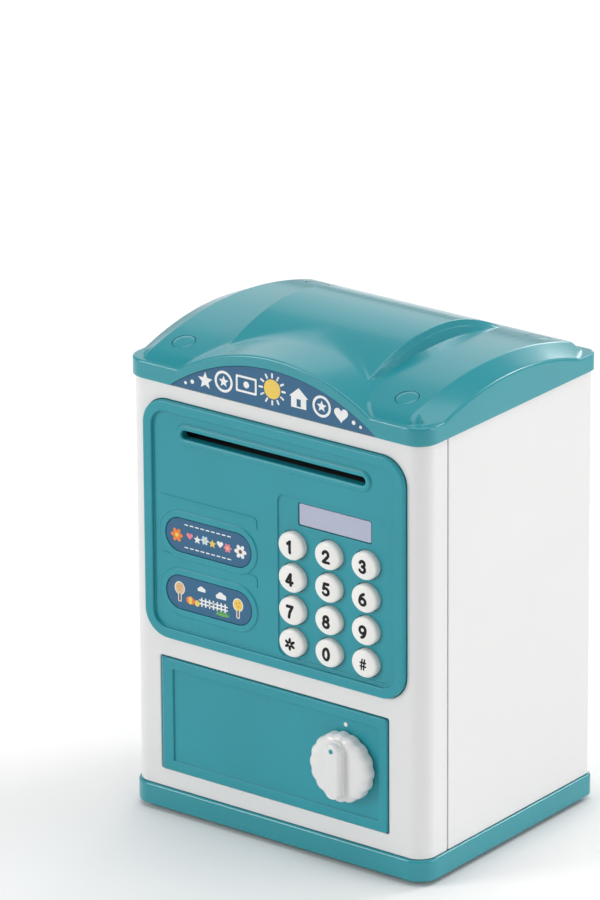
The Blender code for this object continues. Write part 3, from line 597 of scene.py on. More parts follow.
FLANGE = 6.7
ROOF_THICK = 2.3
ROOF_EDGE = 0.75
VAULT_TOP = 16.8
VAULT_FOOT = 46.0
CREASE_X = 57.5
END_TOP = 13.3
RAISED_TOP = 22.8
RAISED_X = 32.5
RAISED_SLANT = 1.6
PLUGS = [f"roof_plug_{i}" for i in range(1, 5)]
PLUG_R = 4.15
DORMER_TOP = 19.3
DORMER_R = 76.0
DORMER_END = -15.0
SIGN_TOP = 15.2
SIGN_R = 76.0


def smooth_max(a, b, reach):
    overlap = np.maximum(reach - np.abs(a - b), 0.0) / reach
    return np.maximum(a, b) + overlap * overlap * reach / 4


def edge_drop(distance, radius):
    """How far a round edge has fallen at a distance from the edge."""
    inside = np.clip(radius - distance, 0.0, radius)
    return radius - np.sqrt(radius * radius - inside * inside)


def vault(y):
    """Height of the vault above the eaves: a flat arch that bends down faster near its feet."""
    foot = np.maximum(np.abs(y) - VAULT_FOOT, 0.0)
    return VAULT_TOP - y * y / 310 - 0.11 * foot * foot


def roof_height(x, y):
    """Height of the roof above the eaves; x and y from the middle of the roof."""
    ax = np.abs(x)
    main = vault(y)
    ramp = ax - CREASE_X
    soft = 0.45
    ramp = np.where(ramp > soft, ramp, np.where(ramp < -soft, 0.0, (ramp + soft) ** 2 / (4 * soft)))
    end = END_TOP - y * y / 235
    lower = main - ramp * (main - end) / (ROOF_W - CREASE_X)
    raised = RAISED_TOP - y * y / 150
    rise = np.maximum(raised - lower, 0.0)
    inside = RAISED_X + 0.05 - ax
    wall = np.clip(inside / RAISED_SLANT, 0.0, 1.0)
    lip = np.minimum(edge_drop(inside - RAISED_SLANT, 0.5), rise * 0.6)
    top = lower + (rise - lip) * wall
    behind = y + ROOF_D
    radius = DORMER_R + behind
    dormer = DORMER_TOP - 0.02 * behind - radius + np.sqrt(np.maximum(radius ** 2 - x * x, 0.0))
    dormer = np.where(y < DORMER_END, dormer, -50.0)
    reach = np.where(ax > RAISED_X, 0.5, 0.5 + 2.2 * (1 - ax / RAISED_X))
    top = smooth_max(top, dormer, reach)
    return smooth_max(top, np.full_like(top, FLANGE), 0.25)


def graded(stops):
    """Grid lines from (place, spacing) stops; each spacing holds up to the next stop."""
    lines = [stops[0][0]]
    for (start, step), (end, _) in zip(stops, stops[1:]):
        count = max(1, round((end - start) / step))
        lines += [start + (end - start) * (i + 1) / count for i in range(count)]
    return lines


def roof_grid():
    """Grid lines across and along the roof, closer together where the surface bends."""
    edge = [0.0, 0.06, 0.2, 0.42, ROOF_EDGE]
    half = graded([(0.0, 0.8), (30.3, 0.08), (31.1, 0.25), (32.3, 0.08), (32.7, 0.3), (33.6, 0.8),
                   (56.8, 0.12), (58.2, 0.4), (63.6, 0.1), (63.8, 0.4), (ROOF_W - ROOF_EDGE, 1.0)])
    half += [ROOF_W - d for d in edge[::-1][1:]]
    across = [-v for v in half[::-1]] + half[1:]
    middle_lines = graded([(-ROOF_D + ROOF_EDGE, 0.3), (-49.8, 0.1), (-49.6, 0.3), (-VAULT_FOOT, 0.55),
                           (-20.0, 1.1), (VAULT_FOOT, 0.3), (49.6, 0.1), (49.8, 0.3),
                           (ROOF_D - ROOF_EDGE, 1.0)])
    along = [d - ROOF_D for d in edge[:-1]] + middle_lines + [ROOF_D - d for d in edge[::-1][1:]]
    return np.array(across), np.array(along)


def onto_corner(x, y):
    """Bends the grid's square corners into round ones."""
    radius = np.where(y < 0, FRONT_CORNER, REAR_CORNER) + OVERHANG
    a = np.maximum(np.abs(x) - (ROOF_W - radius), 0.0)
    b = np.maximum(np.abs(y) - (ROOF_D - radius), 0.0)
    length = np.hypot(a, b)
    scale = np.where(length > 1e-9, np.maximum(a, b) / np.maximum(length, 1e-9), 1.0)
    new_x = np.where(a > 0, np.sign(x) * (ROOF_W - radius + a * scale), x)
    new_y = np.where(b > 0, np.sign(y) * (ROOF_D - radius + b * scale), y)
    return new_x, new_y


def make_roof_mesh():
    """Roof with its cavity, as one closed mesh: an upper grid, a lower grid and a rim that joins them."""
    across, along = roof_grid()
    x, y = np.meshgrid(across, along, indexing="ij")
    wide, deep = x.shape
    distance = np.minimum(ROOF_W - np.abs(x), ROOF_D - np.abs(y))
    top = roof_height(x, y) - edge_drop(distance, ROOF_EDGE)
    within = distance > ROOF_THICK - 0.05
    cavity = np.maximum(roof_height(x * 0.97, y * 0.97), FLANGE) - ROOF_THICK
    cavity = np.where(within, cavity, 0.0)
    flat_x, flat_y = onto_corner(x, y)
    shrink = (ROOF_W - 0.3) / ROOF_W
    low_x = np.where(within, flat_x, flat_x * shrink)
    low_y = np.where(within, flat_y, flat_y * shrink)
    upper = np.stack([flat_x, flat_y + MIDDLE_Y, top + EAVES], -1).reshape(-1, 3)
    under = np.stack([low_x, low_y + MIDDLE_Y, cavity + EAVES], -1).reshape(-1, 3)
    count = wide * deep
    rim = ([(i, 0) for i in range(wide)] + [(wide - 1, j) for j in range(1, deep)]
           + [(i, deep - 1) for i in range(wide - 2, -1, -1)] + [(0, j) for j in range(deep - 2, 0, -1)])
    rim = [i * deep + j for i, j in rim]
    wall_low = [(upper[k][0], upper[k][1], EAVES + 0.3) for k in rim]
    points = [tuple(p) for p in upper] + [tuple(p) for p in under] + wall_low
    faces = []
    for i in range(wide - 1):
        for j in range(deep - 1):
            a = i * deep + j
            faces.append([a, a + deep, a + deep + 1, a + 1])
            faces.append([count + a, count + a + 1, count + a + deep + 1, count + a + deep])
    for n, k in enumerate(rim):
        m = (n + 1) % len(rim)
        low_n, low_m = 2 * count + n, 2 * count + m
        faces.append([rim[m], k, low_n, low_m])
        faces.append([low_m, low_n, count + k, count + rim[m]])
    mesh = bpy.data.meshes.new("roof_shell")
    mesh.from_pydata([Vector(p) * MM for p in points], [], faces)
    return mesh


def arch_outline(top, radius, foot, steps=48):
    """Segment of a circle above a straight foot, from right to left."""
    half = math.sqrt(radius ** 2 - (radius - top + foot) ** 2)
    places = (half - 2 * half * i / steps for i in range(steps + 1))
    return [(x, top - radius + math.sqrt(radius ** 2 - x ** 2)) for x in places]


def on_vault(u, v, height):
    """A place on the roof, with its height counted from the vault."""
    return u, v, EAVES + float(vault(np.array(v - MIDDLE_Y))) + height


def make_roof():
    mesh = make_roof_mesh()
    mesh.materials.append(PAINT["teal_plastic"])
    roof = link_new("roof_shell", mesh)
    cutter = Solid(upward(0.0))
    for name in PLUGS:
        place = middle(name)
        surface = on_vault(place.x, place.y, 0.0)[2]
        cutter.prism(disc((place.x, place.y), PLUG_R + 0.2, 40)(), surface - 1.9, EAVES + 30)
    coin = middle("coin_chute")
    cutter.prism(pill((coin.x, coin.y), 30.0, 3.6)(), EAVES + 3, EAVES + 30)
    sign = Solid(front_of(ROOF_LOW.y))
    sign.prism([(x, z + EAVES) for x, z in arch_outline(SIGN_TOP, SIGN_R, -2.0)], -0.9, 2.0)
    tools = [link_new(name, solid_mesh(name, made)) for name, made in (("plugs", cutter), ("sign", sign))]
    for made in tools:
        modifier = roof.modifiers.new(made.name, "BOOLEAN")
        modifier.operation = "DIFFERENCE"
        modifier.solver = "EXACT"
        modifier.object = made
    graph = bpy.context.evaluated_depsgraph_get()
    cut = bpy.data.meshes.new_from_object(roof.evaluated_get(graph))
    roof.modifiers.clear()
    roof.data = cut
    for made in tools:
        bpy.data.objects.remove(made)
    shade(cut, 32)
    finish_piece(roof, "case", ["roof"], False)
    make_plugs()
    make_sign()


def make_plugs():
    profile = [(PLUG_R, -1.62), (PLUG_R, -0.27), (PLUG_R - 0.08, -0.10), (PLUG_R - 0.25, -0.02),
               (PLUG_R - 1.6, -0.02), (PLUG_R - 3.0, -0.02)]
    for name in PLUGS:
        place = middle(name)
        solid = Solid(on_vault)
        solid.turned((place.x, place.y), profile, 40)
        add_piece(f"plug_cover_{name[-1]}", solid, ["teal_plastic"], "case", [name],
                  weighted=False)


# Printed art: thin shapes of ink laid on a surface

def evenly(points, step=0.4):
    """Adds points along a line so that it can follow a curved surface."""
    line = [points[0]]
    for near, far in zip(points, points[1:]):
        count = max(1, math.ceil((far - near).length / step))
        line += [near.lerp(far, i / count) for i in range(1, count + 1)]
    return line


class Ink:
    """Thin raised shapes on a surface; each is lifted a hair more than the last, so that none coincide."""

    def __init__(self, place, thick=0.05):
        self.solid = Solid(place)
        self.thick = thick
        self.paints = []
        self.count = 0

    def shape(self, outline, paint, holes=(), lift=0.0):
        if paint not in self.paints:
            self.paints.append(paint)
        number = self.paints.index(paint)
        self.count += 1
        lift += 0.003 * (self.count % 5)
        levels = []
        for level in (-self.thick, self.thick + lift):
            loops = [self.solid.ring(loop, level) for loop in (outline, *holes)]
            self.solid.fill(loops[0], loops[1:], number)
            levels.append(loops)
        for low, high in zip(*levels):
            self.solid.bridge(low, high, number)

    def stroke(self, points, width, paint, lift=0.0):
        """A line with round ends along a list of points; a line that ends where it starts is a loop."""
        r = width / 2
        points = evenly([Vector(p) for p in points])
        closed = (points[0] - points[-1]).length < 0.001
        if closed:
            points.pop()
        last = len(points) - 1
        left, right = [], []
        for i, p in enumerate(points):
            after = points[(i + 1) % len(points)] if closed else points[min(i + 1, last)]
            ahead = after - points[i - 1 if closed else max(i - 1, 0)]
            side = Vector((-ahead.y, ahead.x)).normalized() * r
            left.append(tuple(p + side))
            right.append(tuple(p - side))
        if closed:
            self.shape(right, paint, [left], lift)
            return
        first = math.degrees(math.atan2(*(points[1] - points[0]).yx))
        final = math.degrees(math.atan2(*(points[-1] - points[-2]).yx))
        start_cap = arc(points[0], r, first + 90, first + 270, 8)[1:-1]
        end_cap = arc(points[-1], r, final - 90, final + 90, 8)[1:-1]
        self.shape(right + end_cap + left[::-1] + start_cap, paint, (), lift)

    def add(self, name, body, slot="label_print"):
        add_piece(name, self.solid, self.paints, body, weighted=False, angle=30)


def star(centre, size):
    """Star with five points, the first one upwards."""
    turns = (math.pi / 2 + math.pi * i / 5 for i in range(10))
    return [around(centre, size * (0.45 if i % 2 else 1.0), turn) for i, turn in enumerate(turns)]


def ellipse(centre, half_w, half_h, steps=24, turn=0.0):
    c, s = math.cos(math.radians(turn)), math.sin(math.radians(turn))
    points = []
    for i in range(steps):
        a = 2 * math.pi * i / steps
        u, v = half_w * math.cos(a), half_h * math.sin(a)
        points.append((centre[0] + u * c - v * s, centre[1] + u * s + v * c))
    return points


def heart(centre, size):
    points = []
    for i in range(32):
        t = 2 * math.pi * i / 32
        u = 16 * math.sin(t) ** 3
        v = 13 * math.cos(t) - 5 * math.cos(2 * t) - 2 * math.cos(3 * t) - math.cos(4 * t)
        points.append((centre[0] + size * u / 17, centre[1] + size * (v + 2) / 17))
    return points[::-1]


def coin_picture(ink, centre, radius):
    hole = radius * 0.76
    ink.shape(ellipse(centre, radius, radius, 32), "white", [ellipse(centre, hole, hole, 32)])
    ink.shape(star(centre, radius * 0.55), "white")


def note_picture(ink, centre, width, height):
    def border(inset, corner):
        half_w, half_h = width / 2 - inset, height / 2 - inset
        u, v = centre
        return rectangle(u - half_w, u + half_w, v - half_h, v + half_h, corner, 4)()

    ink.shape(border(0.0, 0.5), "white", [border(0.8, 0.4)])
    ink.shape(ellipse(centre, height * 0.2, height * 0.2), "white")


def house_picture(ink, centre, size):
    u, v = centre
    half, eaves, door = size / 2, size * 0.625, size * 0.14
    foot, step = v - half, v + half * 0.2
    outline = [(u - half, foot), (u + half, foot), (u + half, step), (u + eaves, step), (u, v + eaves),
               (u - eaves, step), (u - half, step)]
    way_in = [(u - door, foot + 0.5), (u + door, foot + 0.5), (u + door, v), (u - door, v)]
    ink.shape(outline, "white", [way_in])


def sun_picture(ink, centre, radius):
    ink.shape(ellipse(centre, radius, radius, 36), "yellow")
    for i in range(12):
        angle = 2 * math.pi * i / 12
        ink.stroke([around(centre, radius + reach, angle) for reach in (0.8, 2.0)], 0.75, "white")


def make_sign():
    """Blue arched label with plain pictures: a star, coins, a note, the sun, a house and a heart."""
    high = box("sign_label")[1]
    front = ROOF_LOW.y + 0.3
    face = Solid(front_of(high.y))
    top = high.y - front

    def arch(offset):
        outline = arch_outline(SIGN_TOP - 0.25 + offset, SIGN_R + offset, 0.3 - offset)
        return [(x, z + EAVES) for x, z in outline]

    face.slab(arch, [(0.0, 0.0), (0.0, top - 0.08), (-0.08, top)])
    add_piece("sign_face", face, ["label_print"], "case", ["sign_label"], weighted=False)
    ink = Ink(front_of(front))
    ink.shape(star((-29.6, EAVES + 5.0), 3.3), "white")
    coin_picture(ink, (-21.4, EAVES + 6.4), 4.0)
    note_picture(ink, (-11.4, EAVES + 7.3), 9.2, 6.2)
    sun_picture(ink, (0.0, EAVES + 8.1), 3.6)
    house_picture(ink, (11.6, EAVES + 6.9), 6.6)
    coin_picture(ink, (21.6, EAVES + 6.4), 4.0)
    ink.shape(heart((30.0, EAVES + 4.8), 3.2), "white")
    for side in (-1, 1):
        ink.shape(ellipse((side * 35.4, EAVES + 3.4), 0.8, 0.8, 16), "white")
        ink.shape(ellipse((side * 38.4, EAVES + 2.4), 0.6, 0.6, 16), "white")
    ink.add("sign_pictures", "case")


# Control panel

PANEL_RIM = 4.0
PANEL_FIELD = -1.3
PANEL_BACK = -4.0
LABEL_PAD = 0.45
LABELS = ("label_upper", "label_lower")


def make_panel():
    left, right, low, high = panel_edges()
    face_y = box("control_panel")[0].y
    solid = Solid(front_of(face_y))
    rim, field, back = PANEL_RIM, PANEL_FIELD, PANEL_BACK
    frame_shape = rectangle(left, right, low, high, PANEL_CORNER, 14)
    profile = ([(0.0, back)] + round_off((0.0, -0.75), (-0.75, 0.0), False)
               + round_off((-rim + 0.5, 0.0), (-rim, -0.5), True)
               + round_off((-rim, field + 0.3), (-rim - 0.3, field), False))
    outer_back, field_ring = solid.sweep(frame_shape, profile)

    slot = pill(slot_place(), 81.0, 3.2, 10)
    lip = (round_off((2.5, field), (2.2, field + 0.3), False, 3)
           + round_off((2.15, field + 0.35), (1.3, field + 0.75), False, 4)
           + round_off((0.9, field + 0.75), (0.0, field + 0.1), True, 5) + [(0.0, back)])
    slot_front, slot_back = solid.sweep(slot, lip)

    window_low, window_high = box("display_window")
    pad_left = middle("key_1").x - 7.1
    pad_right = middle("key_3").x + 10.9
    pad = rectangle(pad_left, pad_right, low + rim + 1.0, window_high.z + 2.4, 3.6, 10)
    floor = field - 0.55
    pad_front, pad_ring = solid.sweep(pad, round_off((0.0, field), (-0.3, field - 0.3), True, 3)
                                      + round_off((-0.3, floor + 0.2), (-0.5, floor), False, 3))
    holes = []
    for name in KEYS:
        centre = front_middle(name)
        holes.append(oval(disc(centre, KEY_R + 0.25, 40), centre[0], KEY_OVAL))
    holes.append(rectangle(window_low.x - GAP, window_high.x + GAP, window_low.z - GAP, window_high.z + GAP,
                           0.8, 6))
    well = round_off((0.25, floor), (0.0, floor - 0.25), True, 3) + [(0.0, back)]
    hole_fronts, hole_backs = zip(*[solid.sweep(hole, well) for hole in holes])
    solid.fill(pad_ring, hole_fronts)

    label_rings = []
    for name in LABELS:
        label_low, label_high = box(name)
        size = label_high - label_low
        pad_height = field + LABEL_PAD
        profile = (round_off((2.6, field), (2.4, field + 0.2), False, 3)
                   + round_off((2.35, field + 0.25), (2.0, pad_height), False, 3)
                   + round_off((0.2, pad_height), (0.0, pad_height - 0.2), True, 3) + [(0.0, field - 0.5)])
        outer, inner = solid.sweep(pill(front_middle(name), size.x + 0.6, size.z + 0.6, 14), profile)
        solid.fill(inner)
        label_rings.append(outer)
    solid.fill(field_ring, [slot_front, pad_front, *label_rings])
    solid.fill(outer_back, [slot_back, *hole_backs])
    add_piece("panel_face", solid, ["panel_plastic"], "case", ["control_panel"])
    make_panel_ridges(face_y - field)
    make_slot_tunnel(slot, face_y)


def slot_place():
    """Middle of the note slot: halfway between the drive and the pinch roller."""
    return (0.0, (box("pinch_roller")[0].z + box("drive_tyre_left")[1].z) / 2)


def make_slot_tunnel(slot, face_y):
    """Short tube that leads a note from the slot to the rollers."""
    solid = Solid(front_of(face_y))
    near, far, wall = PANEL_BACK + 0.1, -11.0, 1.4
    outer, inner = solid.sweep(slot, [(0.0, near), (0.0, far), (wall, far), (wall, near)])
    solid.bridge(inner, outer)
    add_piece("slot_tunnel", solid, ["dark_plastic"], "case")


def make_panel_ridges(field_y):
    """Low steps above each label that turn down and fade at their right end."""
    ink = Ink(front_of(field_y), 0.22)
    bend = 1.6
    for name in LABELS:
        top = box(name)[1].z + 7.35
        right = middle("key_1").x - 16.2
        left = middle(name).x - 21.0
        corner = arc((right - bend, top - bend), bend, 90, 0, 8)
        tail = [(right, top - bend - d) for d in (0.8, 1.6, 2.4)]
        points = [(left, top), (left + 14, top), (left + 28, top)] + corner + tail
        ink.stroke(points, 0.55, "panel_plastic")
    ink.add("panel_ridges", "case", "teal_plastic")


def make_display():
    low, high = box("display_window")
    solid = Solid(front_of(low.y))
    shape = rectangle(low.x, high.x, low.z, high.z, 0.6, 6)
    solid.slab(shape, [(0.0, low.y - high.y)] + round_off((0.0, -0.25), (-0.25, 0.0), False))
    add_piece("display_face", solid, ["display_film"], "case", ["display_window"])


# Keys

KEYS = [f"key_{k}" for k in ("1", "2", "3", "4", "5", "6", "7", "8", "9", "star", "0", "hash")]
KEY_R = 5.2
KEY_OVAL = 1.07
KEY_CROWN = 0.85
KEY_EDGE = 0.8
DIGIT_TALL = 4.1
DIGIT_PEN = 1.12
HASH_PEN = 0.58


def key_height(radius):
    """Height of a key's dome above its rim, by distance from its middle."""
    crown = KEY_CROWN * (1 - (radius / KEY_R) ** 2)
    return float(crown - edge_drop(np.array(KEY_R - radius), KEY_EDGE))


# Pen strokes of each sign, in a box 0.62 wide and 1 high
SIX = [arc((0.31, 0.30), 0.30, 0, 360, 24),
       [(0.01, 0.34), (0.03, 0.52), (0.12, 0.76), (0.26, 0.92), (0.43, 1.0)]]
STROKES = {
    "1": [[(0.13, 0.80), (0.38, 1.0)], [(0.38, 1.0), (0.38, 0.0)]],
    "2": [arc((0.31, 0.71), 0.28, 168, -38, 16) + [(0.02, 0.0)], [(0.02, 0.0), (0.62, 0.0)]],
    "3": [arc((0.29, 0.755), 0.245, 160, -85, 16), arc((0.29, 0.275), 0.285, 85, -160, 16)],
    "4": [[(0.42, 1.0), (0.0, 0.27)], [(0.0, 0.27), (0.64, 0.27)], [(0.45, 1.0), (0.45, 0.0)]],
    "5": [[(0.56, 1.0), (0.14, 1.0)], [(0.14, 1.0), (0.07, 0.54)],
          arc((0.29, 0.315), 0.31, 132, -150, 18)],
    "6": SIX,
    "7": [[(0.03, 1.0), (0.60, 1.0)], [(0.60, 1.0), (0.36, 0.50), (0.24, 0.0)]],
    "8": [arc((0.31, 0.76), 0.235, 0, 360, 20), arc((0.31, 0.275), 0.285, 0, 360, 24)],
    "9": [[(0.62 - u, 1.0 - v) for u, v in line] for line in SIX],
    "0": [ellipse((0.31, 0.5), 0.29, 0.50, 28) + [(0.60, 0.5)]],
    "hash": [[(0.05, 0.34), (0.62, 0.34)], [(0.05, 0.68), (0.62, 0.68)], [(0.16, 0.05), (0.26, 0.97)],
             [(0.41, 0.05), (0.51, 0.97)]],
}


def print_sign(ink, sign, centre):
    if sign == "star":
        for i in range(6):
            angle = math.pi * i / 3
            at = (centre[0] + 1.4 * math.sin(angle), centre[1] + 1.4 * math.cos(angle))
            ink.shape(ellipse(at, 0.55, 1.05, 16, -math.degrees(angle)), "ink")
        return
    pen = HASH_PEN if sign == "hash" else DIGIT_PEN
    for line in STROKES[sign]:
        points = [(centre[0] + (u - 0.31) * DIGIT_TALL, centre[1] + (v - 0.5) * DIGIT_TALL)
                  for u, v in line]
        ink.stroke(points, pen, "ink")


def make_keys():
    steps = (0.002, 0.12, 0.25, 0.38, 0.5, 0.6, 0.7, 0.78, 0.84, 0.89, 0.93, 0.96, 0.98, 0.995)
    dome = [(KEY_R * t, key_height(KEY_R * t)) for t in steps]
    for name in KEYS:
        low, high = box(name)
        centre = front_middle(name)
        rim_y = low.y + key_height(0.0)
        back = rim_y - high.y
        solid = Solid(front_of(rim_y))
        foot_r = KEY_R + 0.55
        foot = [(KEY_R, -0.9), (KEY_R, back + 0.9), (foot_r, back + 0.9), (foot_r, back)]
        solid.turned(centre, dome + foot, 48)
        solid.points = [(centre[0] + (x - centre[0]) * KEY_OVAL, y, z) for x, y, z in solid.points]
        add_piece(f"{name}_cap", solid, ["key_plastic"], name, [name])

        def on_dome(u, v, height, centre=centre, rim_y=rim_y):
            return u, rim_y - (key_height(math.hypot(u - centre[0], v - centre[1])) + height), v

        ink = Ink(on_dome)
        print_sign(ink, name[4:], centre)
        ink.add(f"{name}_print", name, "key_plastic")


# Labels

def label_face(name):
    """Builds a label's blue face; gives the ink to print on it, and its middle."""
    low, high = box(name)
    face_y = box("control_panel")[0].y - PANEL_FIELD - LABEL_PAD + 0.22
    solid = Solid(front_of(face_y))
    shape = pill(front_middle(name), high.x - low.x, high.z - low.z, 14)
    solid.slab(shape, [(0.0, -0.5)] + round_off((0.0, -0.08), (-0.08, 0.0), False, 3))
    add_piece(f"{name}_face", solid, ["label_print"], "case", [name])
    return Ink(front_of(face_y), 0.04), front_middle(name)


def flower(ink, centre, size, petals, heart_paint="yellow"):
    for i in range(6):
        angle = 2 * math.pi * i / 6
        at = around(centre, size * 0.62, angle)
        ink.shape(ellipse(at, size * 0.42, size * 0.3, 14, math.degrees(angle)), petals)
    ink.shape(ellipse(centre, size * 0.3, size * 0.3, 16), heart_paint, lift=0.02)


def cloud(ink, centre, size):
    u, v = centre
    for du, dv, r in ((-0.9, 0.0, 0.55), (-0.2, 0.35, 0.75), (0.6, 0.1, 0.6)):
        ink.shape(ellipse((u + du * size, v + dv * size), r * size, r * size * 0.8, 20), "white")
    foot = rectangle(u - 1.4 * size, u + 1.2 * size, v - 0.5 * size, v - 0.05 * size, 0.2 * size, 4)
    ink.shape(foot(), "white")


def tree(ink, centre, paint):
    u, v = centre
    ink.shape(rectangle(u - 0.75, u + 0.75, v - 3.9, v - 0.2, 0.4, 4)(), "white")
    ink.shape(ellipse((u, v + 1.2), 2.3, 2.5, 24), "white")
    ink.shape(rectangle(u - 0.4, u + 0.4, v - 3.6, v, 0.2, 4)(), "brown", lift=0.02)
    ink.shape(ellipse((u, v + 1.2), 1.95, 2.15, 24), paint, lift=0.02)
    for du, dv in ((-0.8, 1.6), (0.7, 2.1), (0.1, 0.6)):
        ink.shape(ellipse((u + du, v + dv), 0.35, 0.35, 12), "orange", lift=0.035)


def print_upper_label():
    """Flowers, hearts and stars between two dashed lines."""
    ink, (u, v) = label_face("label_upper")
    for edge in (-1, 1):
        for i in range(9):
            start = u - 10.6 + 2.4 * i
            ink.stroke([(start, v + edge * 4.3), (start + 1.3, v + edge * 4.3)], 0.42, "white")
    row = (("heart", "pink"), ("star", "white"), ("flower", "sky"), ("star", "yellow"), ("heart", "white"),
           ("flower", "pink"))
    for i, (shape, paint) in enumerate(row):
        at = (u - 8.4 + 3.4 * i, v + 0.25 * (-1) ** i)
        if shape == "heart":
            ink.shape(heart(at, 1.5), paint)
        elif shape == "star":
            ink.shape(star(at, 1.7), paint)
        else:
            flower(ink, at, 1.7, paint)
    flower(ink, (u - 14.2, v - 0.3), 2.6, "orange")
    flower(ink, (u + 14.3, v - 0.3), 2.6, "white", "brown")
    ink.add("label_upper_print", "case")


def print_lower_label():
    """Two trees, two clouds, a fence, fruit and grass."""
    ink, (u, v) = label_face("label_lower")
    tree(ink, (u - 13.2, v + 0.3), "tan")
    tree(ink, (u + 13.0, v - 0.1), "yellow")
    cloud(ink, (u - 3.2, v + 3.0), 1.35)
    cloud(ink, (u + 5.6, v + 2.4), 1.75)
    for i in range(7):
        x = u - 3.3 + 1.75 * i
        ink.stroke([(x, v - 3.1), (x, v - 0.2)], 0.62, "white")
    for dv in (-2.3, -1.0):
        ink.stroke([(u - 4.3, v + dv), (u + 8.2, v + dv)], 0.5, "white")
    ink.shape(ellipse((u - 8.4, v - 2.2), 1.9, 1.5, 22), "orange", lift=0.015)
    ink.shape(ellipse((u - 8.4, v - 2.2), 0.75, 1.5, 18), "yellow", lift=0.03)
    ink.shape(ellipse((u - 5.4, v - 2.6), 1.1, 1.2, 18), "yellow", lift=0.015)
    for i in range(9):
        x = u + 3.6 + 0.62 * i
        ink.stroke([(x, v - 4.4), (x + 0.35 * (-1) ** i, v - 3.1)], 0.42, "green", lift=0.02)
    ink.shape(ellipse((u + 6.0, v - 4.4), 3.1, 0.5, 24), "green", lift=0.01)
    ink.add("label_lower_print", "case")


# Door and knob

DOOR_FIELD = -0.7


def make_door():
    low, high = box("door")
    pin = middle("door_hinge_pin")
    solid = Solid(front_of(low.y))
    back = low.y - (CASE_FRONT + WALL - 0.1)
    shape = rectangle(pin.x, high.x, low.z, high.z, 1.2, 6)
    rim, field = 4.0, DOOR_FIELD
    profile = ([(0.0, back)] + round_off((0.0, -0.6), (-0.6, 0.0), False)
               + round_off((-rim + 0.4, 0.0), (-rim, -0.3), True, 3)
               + round_off((-rim, field + 0.25), (-rim - 0.25, field), False, 3))
    outer, inner = solid.sweep(shape, profile)
    knob_x, knob_z = front_middle("door_knob")
    seat_front, seat_back = solid.sweep(disc((knob_x, knob_z), 3.2), [(0.0, field), (0.0, back)])
    solid.fill(inner, [seat_front])
    solid.fill(outer, [seat_back])
    add_piece("door_face", solid, ["panel_plastic"], "door", ["door"])
    barrel = Solid(upward(0.0))
    outside = [(1.45, low.z), (1.8, low.z + 0.35), (1.8, high.z - 0.35), (1.45, high.z)]
    bore = [(0.9, high.z), (0.9, low.z)]
    rings = [barrel.ring(disc((pin.x, pin.y), radius, 28)(), z) for radius, z in outside + bore]
    barrel.loft(rings + rings[:1])
    add_piece("door_barrel", barrel, ["panel_plastic"], "door")
    marks = Ink(front_of(low.y - field), 0.2)
    for at in ((knob_x + 14.9, knob_z), (knob_x, knob_z + 15.4)):
        marks.shape(ellipse(at, 0.8, 0.8, 20), "white")
    marks.add("door_marks", "door", "teal_plastic")


def make_knob():
    low, high = box("door_knob")
    centre = front_middle("door_knob")
    radius = (high.x - low.x) / 2
    solid = Solid(front_of(low.y))
    base = -3.6
    steps = 96

    def scallop(size):
        """Round near the middle, with sixteen finger dents near the edge."""
        depth = 0.5 if size > radius - 2 else 0.0
        points = []
        for i in range(steps):
            angle = 2 * math.pi * i / steps
            points.append(around(centre, size - depth * (0.5 - 0.5 * math.cos(angle * 16)) ** 2, angle))
        return points

    seat = low.y - (box("door")[0].y - DOOR_FIELD - GAP)
    profile = [(radius - 4.6, base + 0.25), (radius - 3.0, base + 0.2), (radius - 1.6, base - 0.05),
               (radius - 0.8, base - 0.45), (radius - 0.25, base - 1.1), (radius, base - 1.9),
               (radius, seat + 0.4), (radius - 0.3, seat)]
    rings = [solid.ring(disc(centre, 1.5, steps)(), base + 0.3)]
    rings += [solid.ring(scallop(size), height) for size, height in profile]
    rings += [solid.ring(disc(centre, 2.9, steps)(), height) for height in (seat, low.y - high.y)]
    solid.loft(rings)
    solid.face(rings[0])
    solid.face(rings[-1])
    add_piece("knob_body", solid, ["white_plastic"], "knob", ["door_knob"])
    grip = Solid(front_of(low.y))
    half = radius - 2.5
    shape = rectangle(centre[0] - 3.2, centre[0] + 3.2, centre[1] - half, centre[1] + half, 3.1, 12)
    grip.slab(shape, [(0.6, base - 0.3)] + round_off((0.6, base + 0.3), (0.0, base + 1.2), False)
              + round_off((0.0, -0.9), (-0.9, 0.0), False, 5))
    add_piece("knob_grip", grip, ["white_plastic"], "knob")
    pointer = Ink(front_of(low.y), 0.06)
    pointer.shape(ellipse((centre[0], centre[1] + half - 2.6), 0.9, 0.9, 20), "panel_plastic")
    pointer.add("knob_pointer", "knob", "white_plastic")


# Base

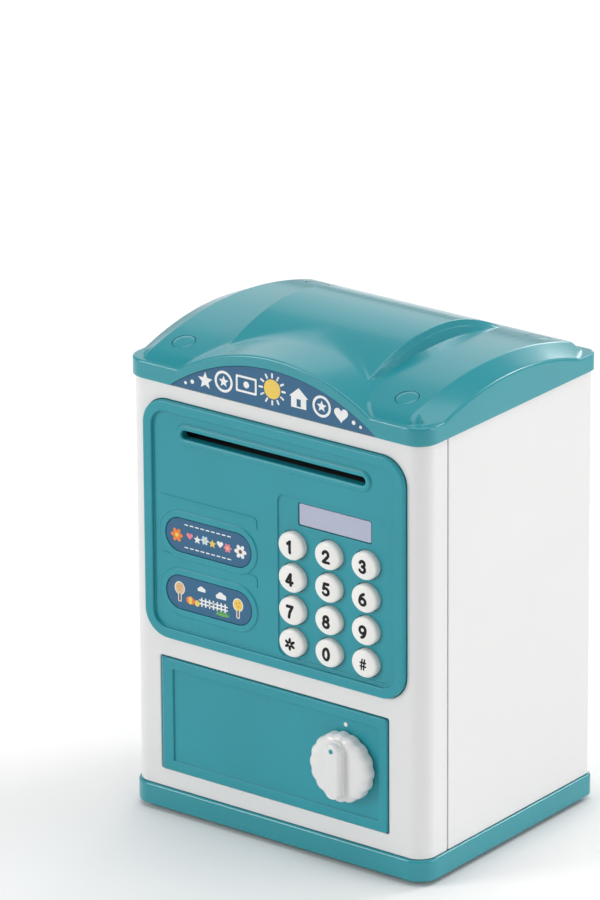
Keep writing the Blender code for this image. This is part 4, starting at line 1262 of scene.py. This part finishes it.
def make_base():
    low, high = box("base_plate")
    bottom = low.z
    top = SHELL_LOW.z - GAP
    solid = Solid(upward(0.0))
    skirt_top = top - 2.5
    profile = ([(-2.2, skirt_top), (-2.2, bottom), (-0.4, bottom), (-0.1, bottom + 0.1),
                (0.0, bottom + 0.4)] + round_off((0.0, top - 0.9), (-0.9, top), False, 5))
    ceiling, edge = solid.sweep(base_outline, profile)
    ledge = [(-3.5, top), (-3.5, top + 2.7), (-3.8, top + 3.0), (-4.8, top + 3.0), (-5.1, top + 2.7),
             (-5.1, top)]
    rim_out, rim_in = solid.sweep(base_outline, ledge)
    lid_low, lid_high = box("battery_lid")
    inset = 0.5
    bay = rectangle(lid_low.x + inset, lid_high.x - inset, lid_low.y + inset, lid_high.y - inset, 0.3, 3)
    box_foot, box_top = solid.sweep(bay, [(2.0, top), (2.0, high.z - 0.5), (1.5, high.z)])
    solid.fill(edge, [rim_out])
    solid.fill(rim_in, [box_foot])
    solid.fill(box_top)
    boss_rings = []
    for i in range(1, 5):
        foot = middle(f"foot_{i}")
        boss = disc((foot.x, foot.y), 7.0, 28)
        outer, end = solid.sweep(boss, [(0.0, skirt_top), (0.0, bottom + 0.2), (-0.2, bottom)])
        solid.fill(end)
        boss_rings.append(outer)
    walls = [(2.0, skirt_top), (2.0, bottom), (0.8, bottom), (0.8, bottom + 2.4), (0.0, bottom + 2.4),
             (0.0, high.z - 1.6)]
    wall_out, wall_in = solid.sweep(bay, walls)
    solid.fill(wall_in)
    solid.fill(ceiling, [*boss_rings, wall_out])
    add_piece("base_tray", solid, ["teal_plastic"], "case", ["base_plate"])


# Inner parts keep their CAD shape and get the finish of their slot

def paint_frame():
    slots = {part["node"]: part["material_slot"] for part in frame["record"]["subparts"]}
    for name, node in frame["nodes"].items():
        node.data.materials.clear()
        node.data.materials.append(PAINT[slots[name]])
        shade(node.data, 35)


make_camera()
make_studio()
paint_frame()
make_case()
make_roof()
make_panel()
make_display()
make_keys()
print_upper_label()
print_lower_label()
make_door()
make_knob()
make_base()
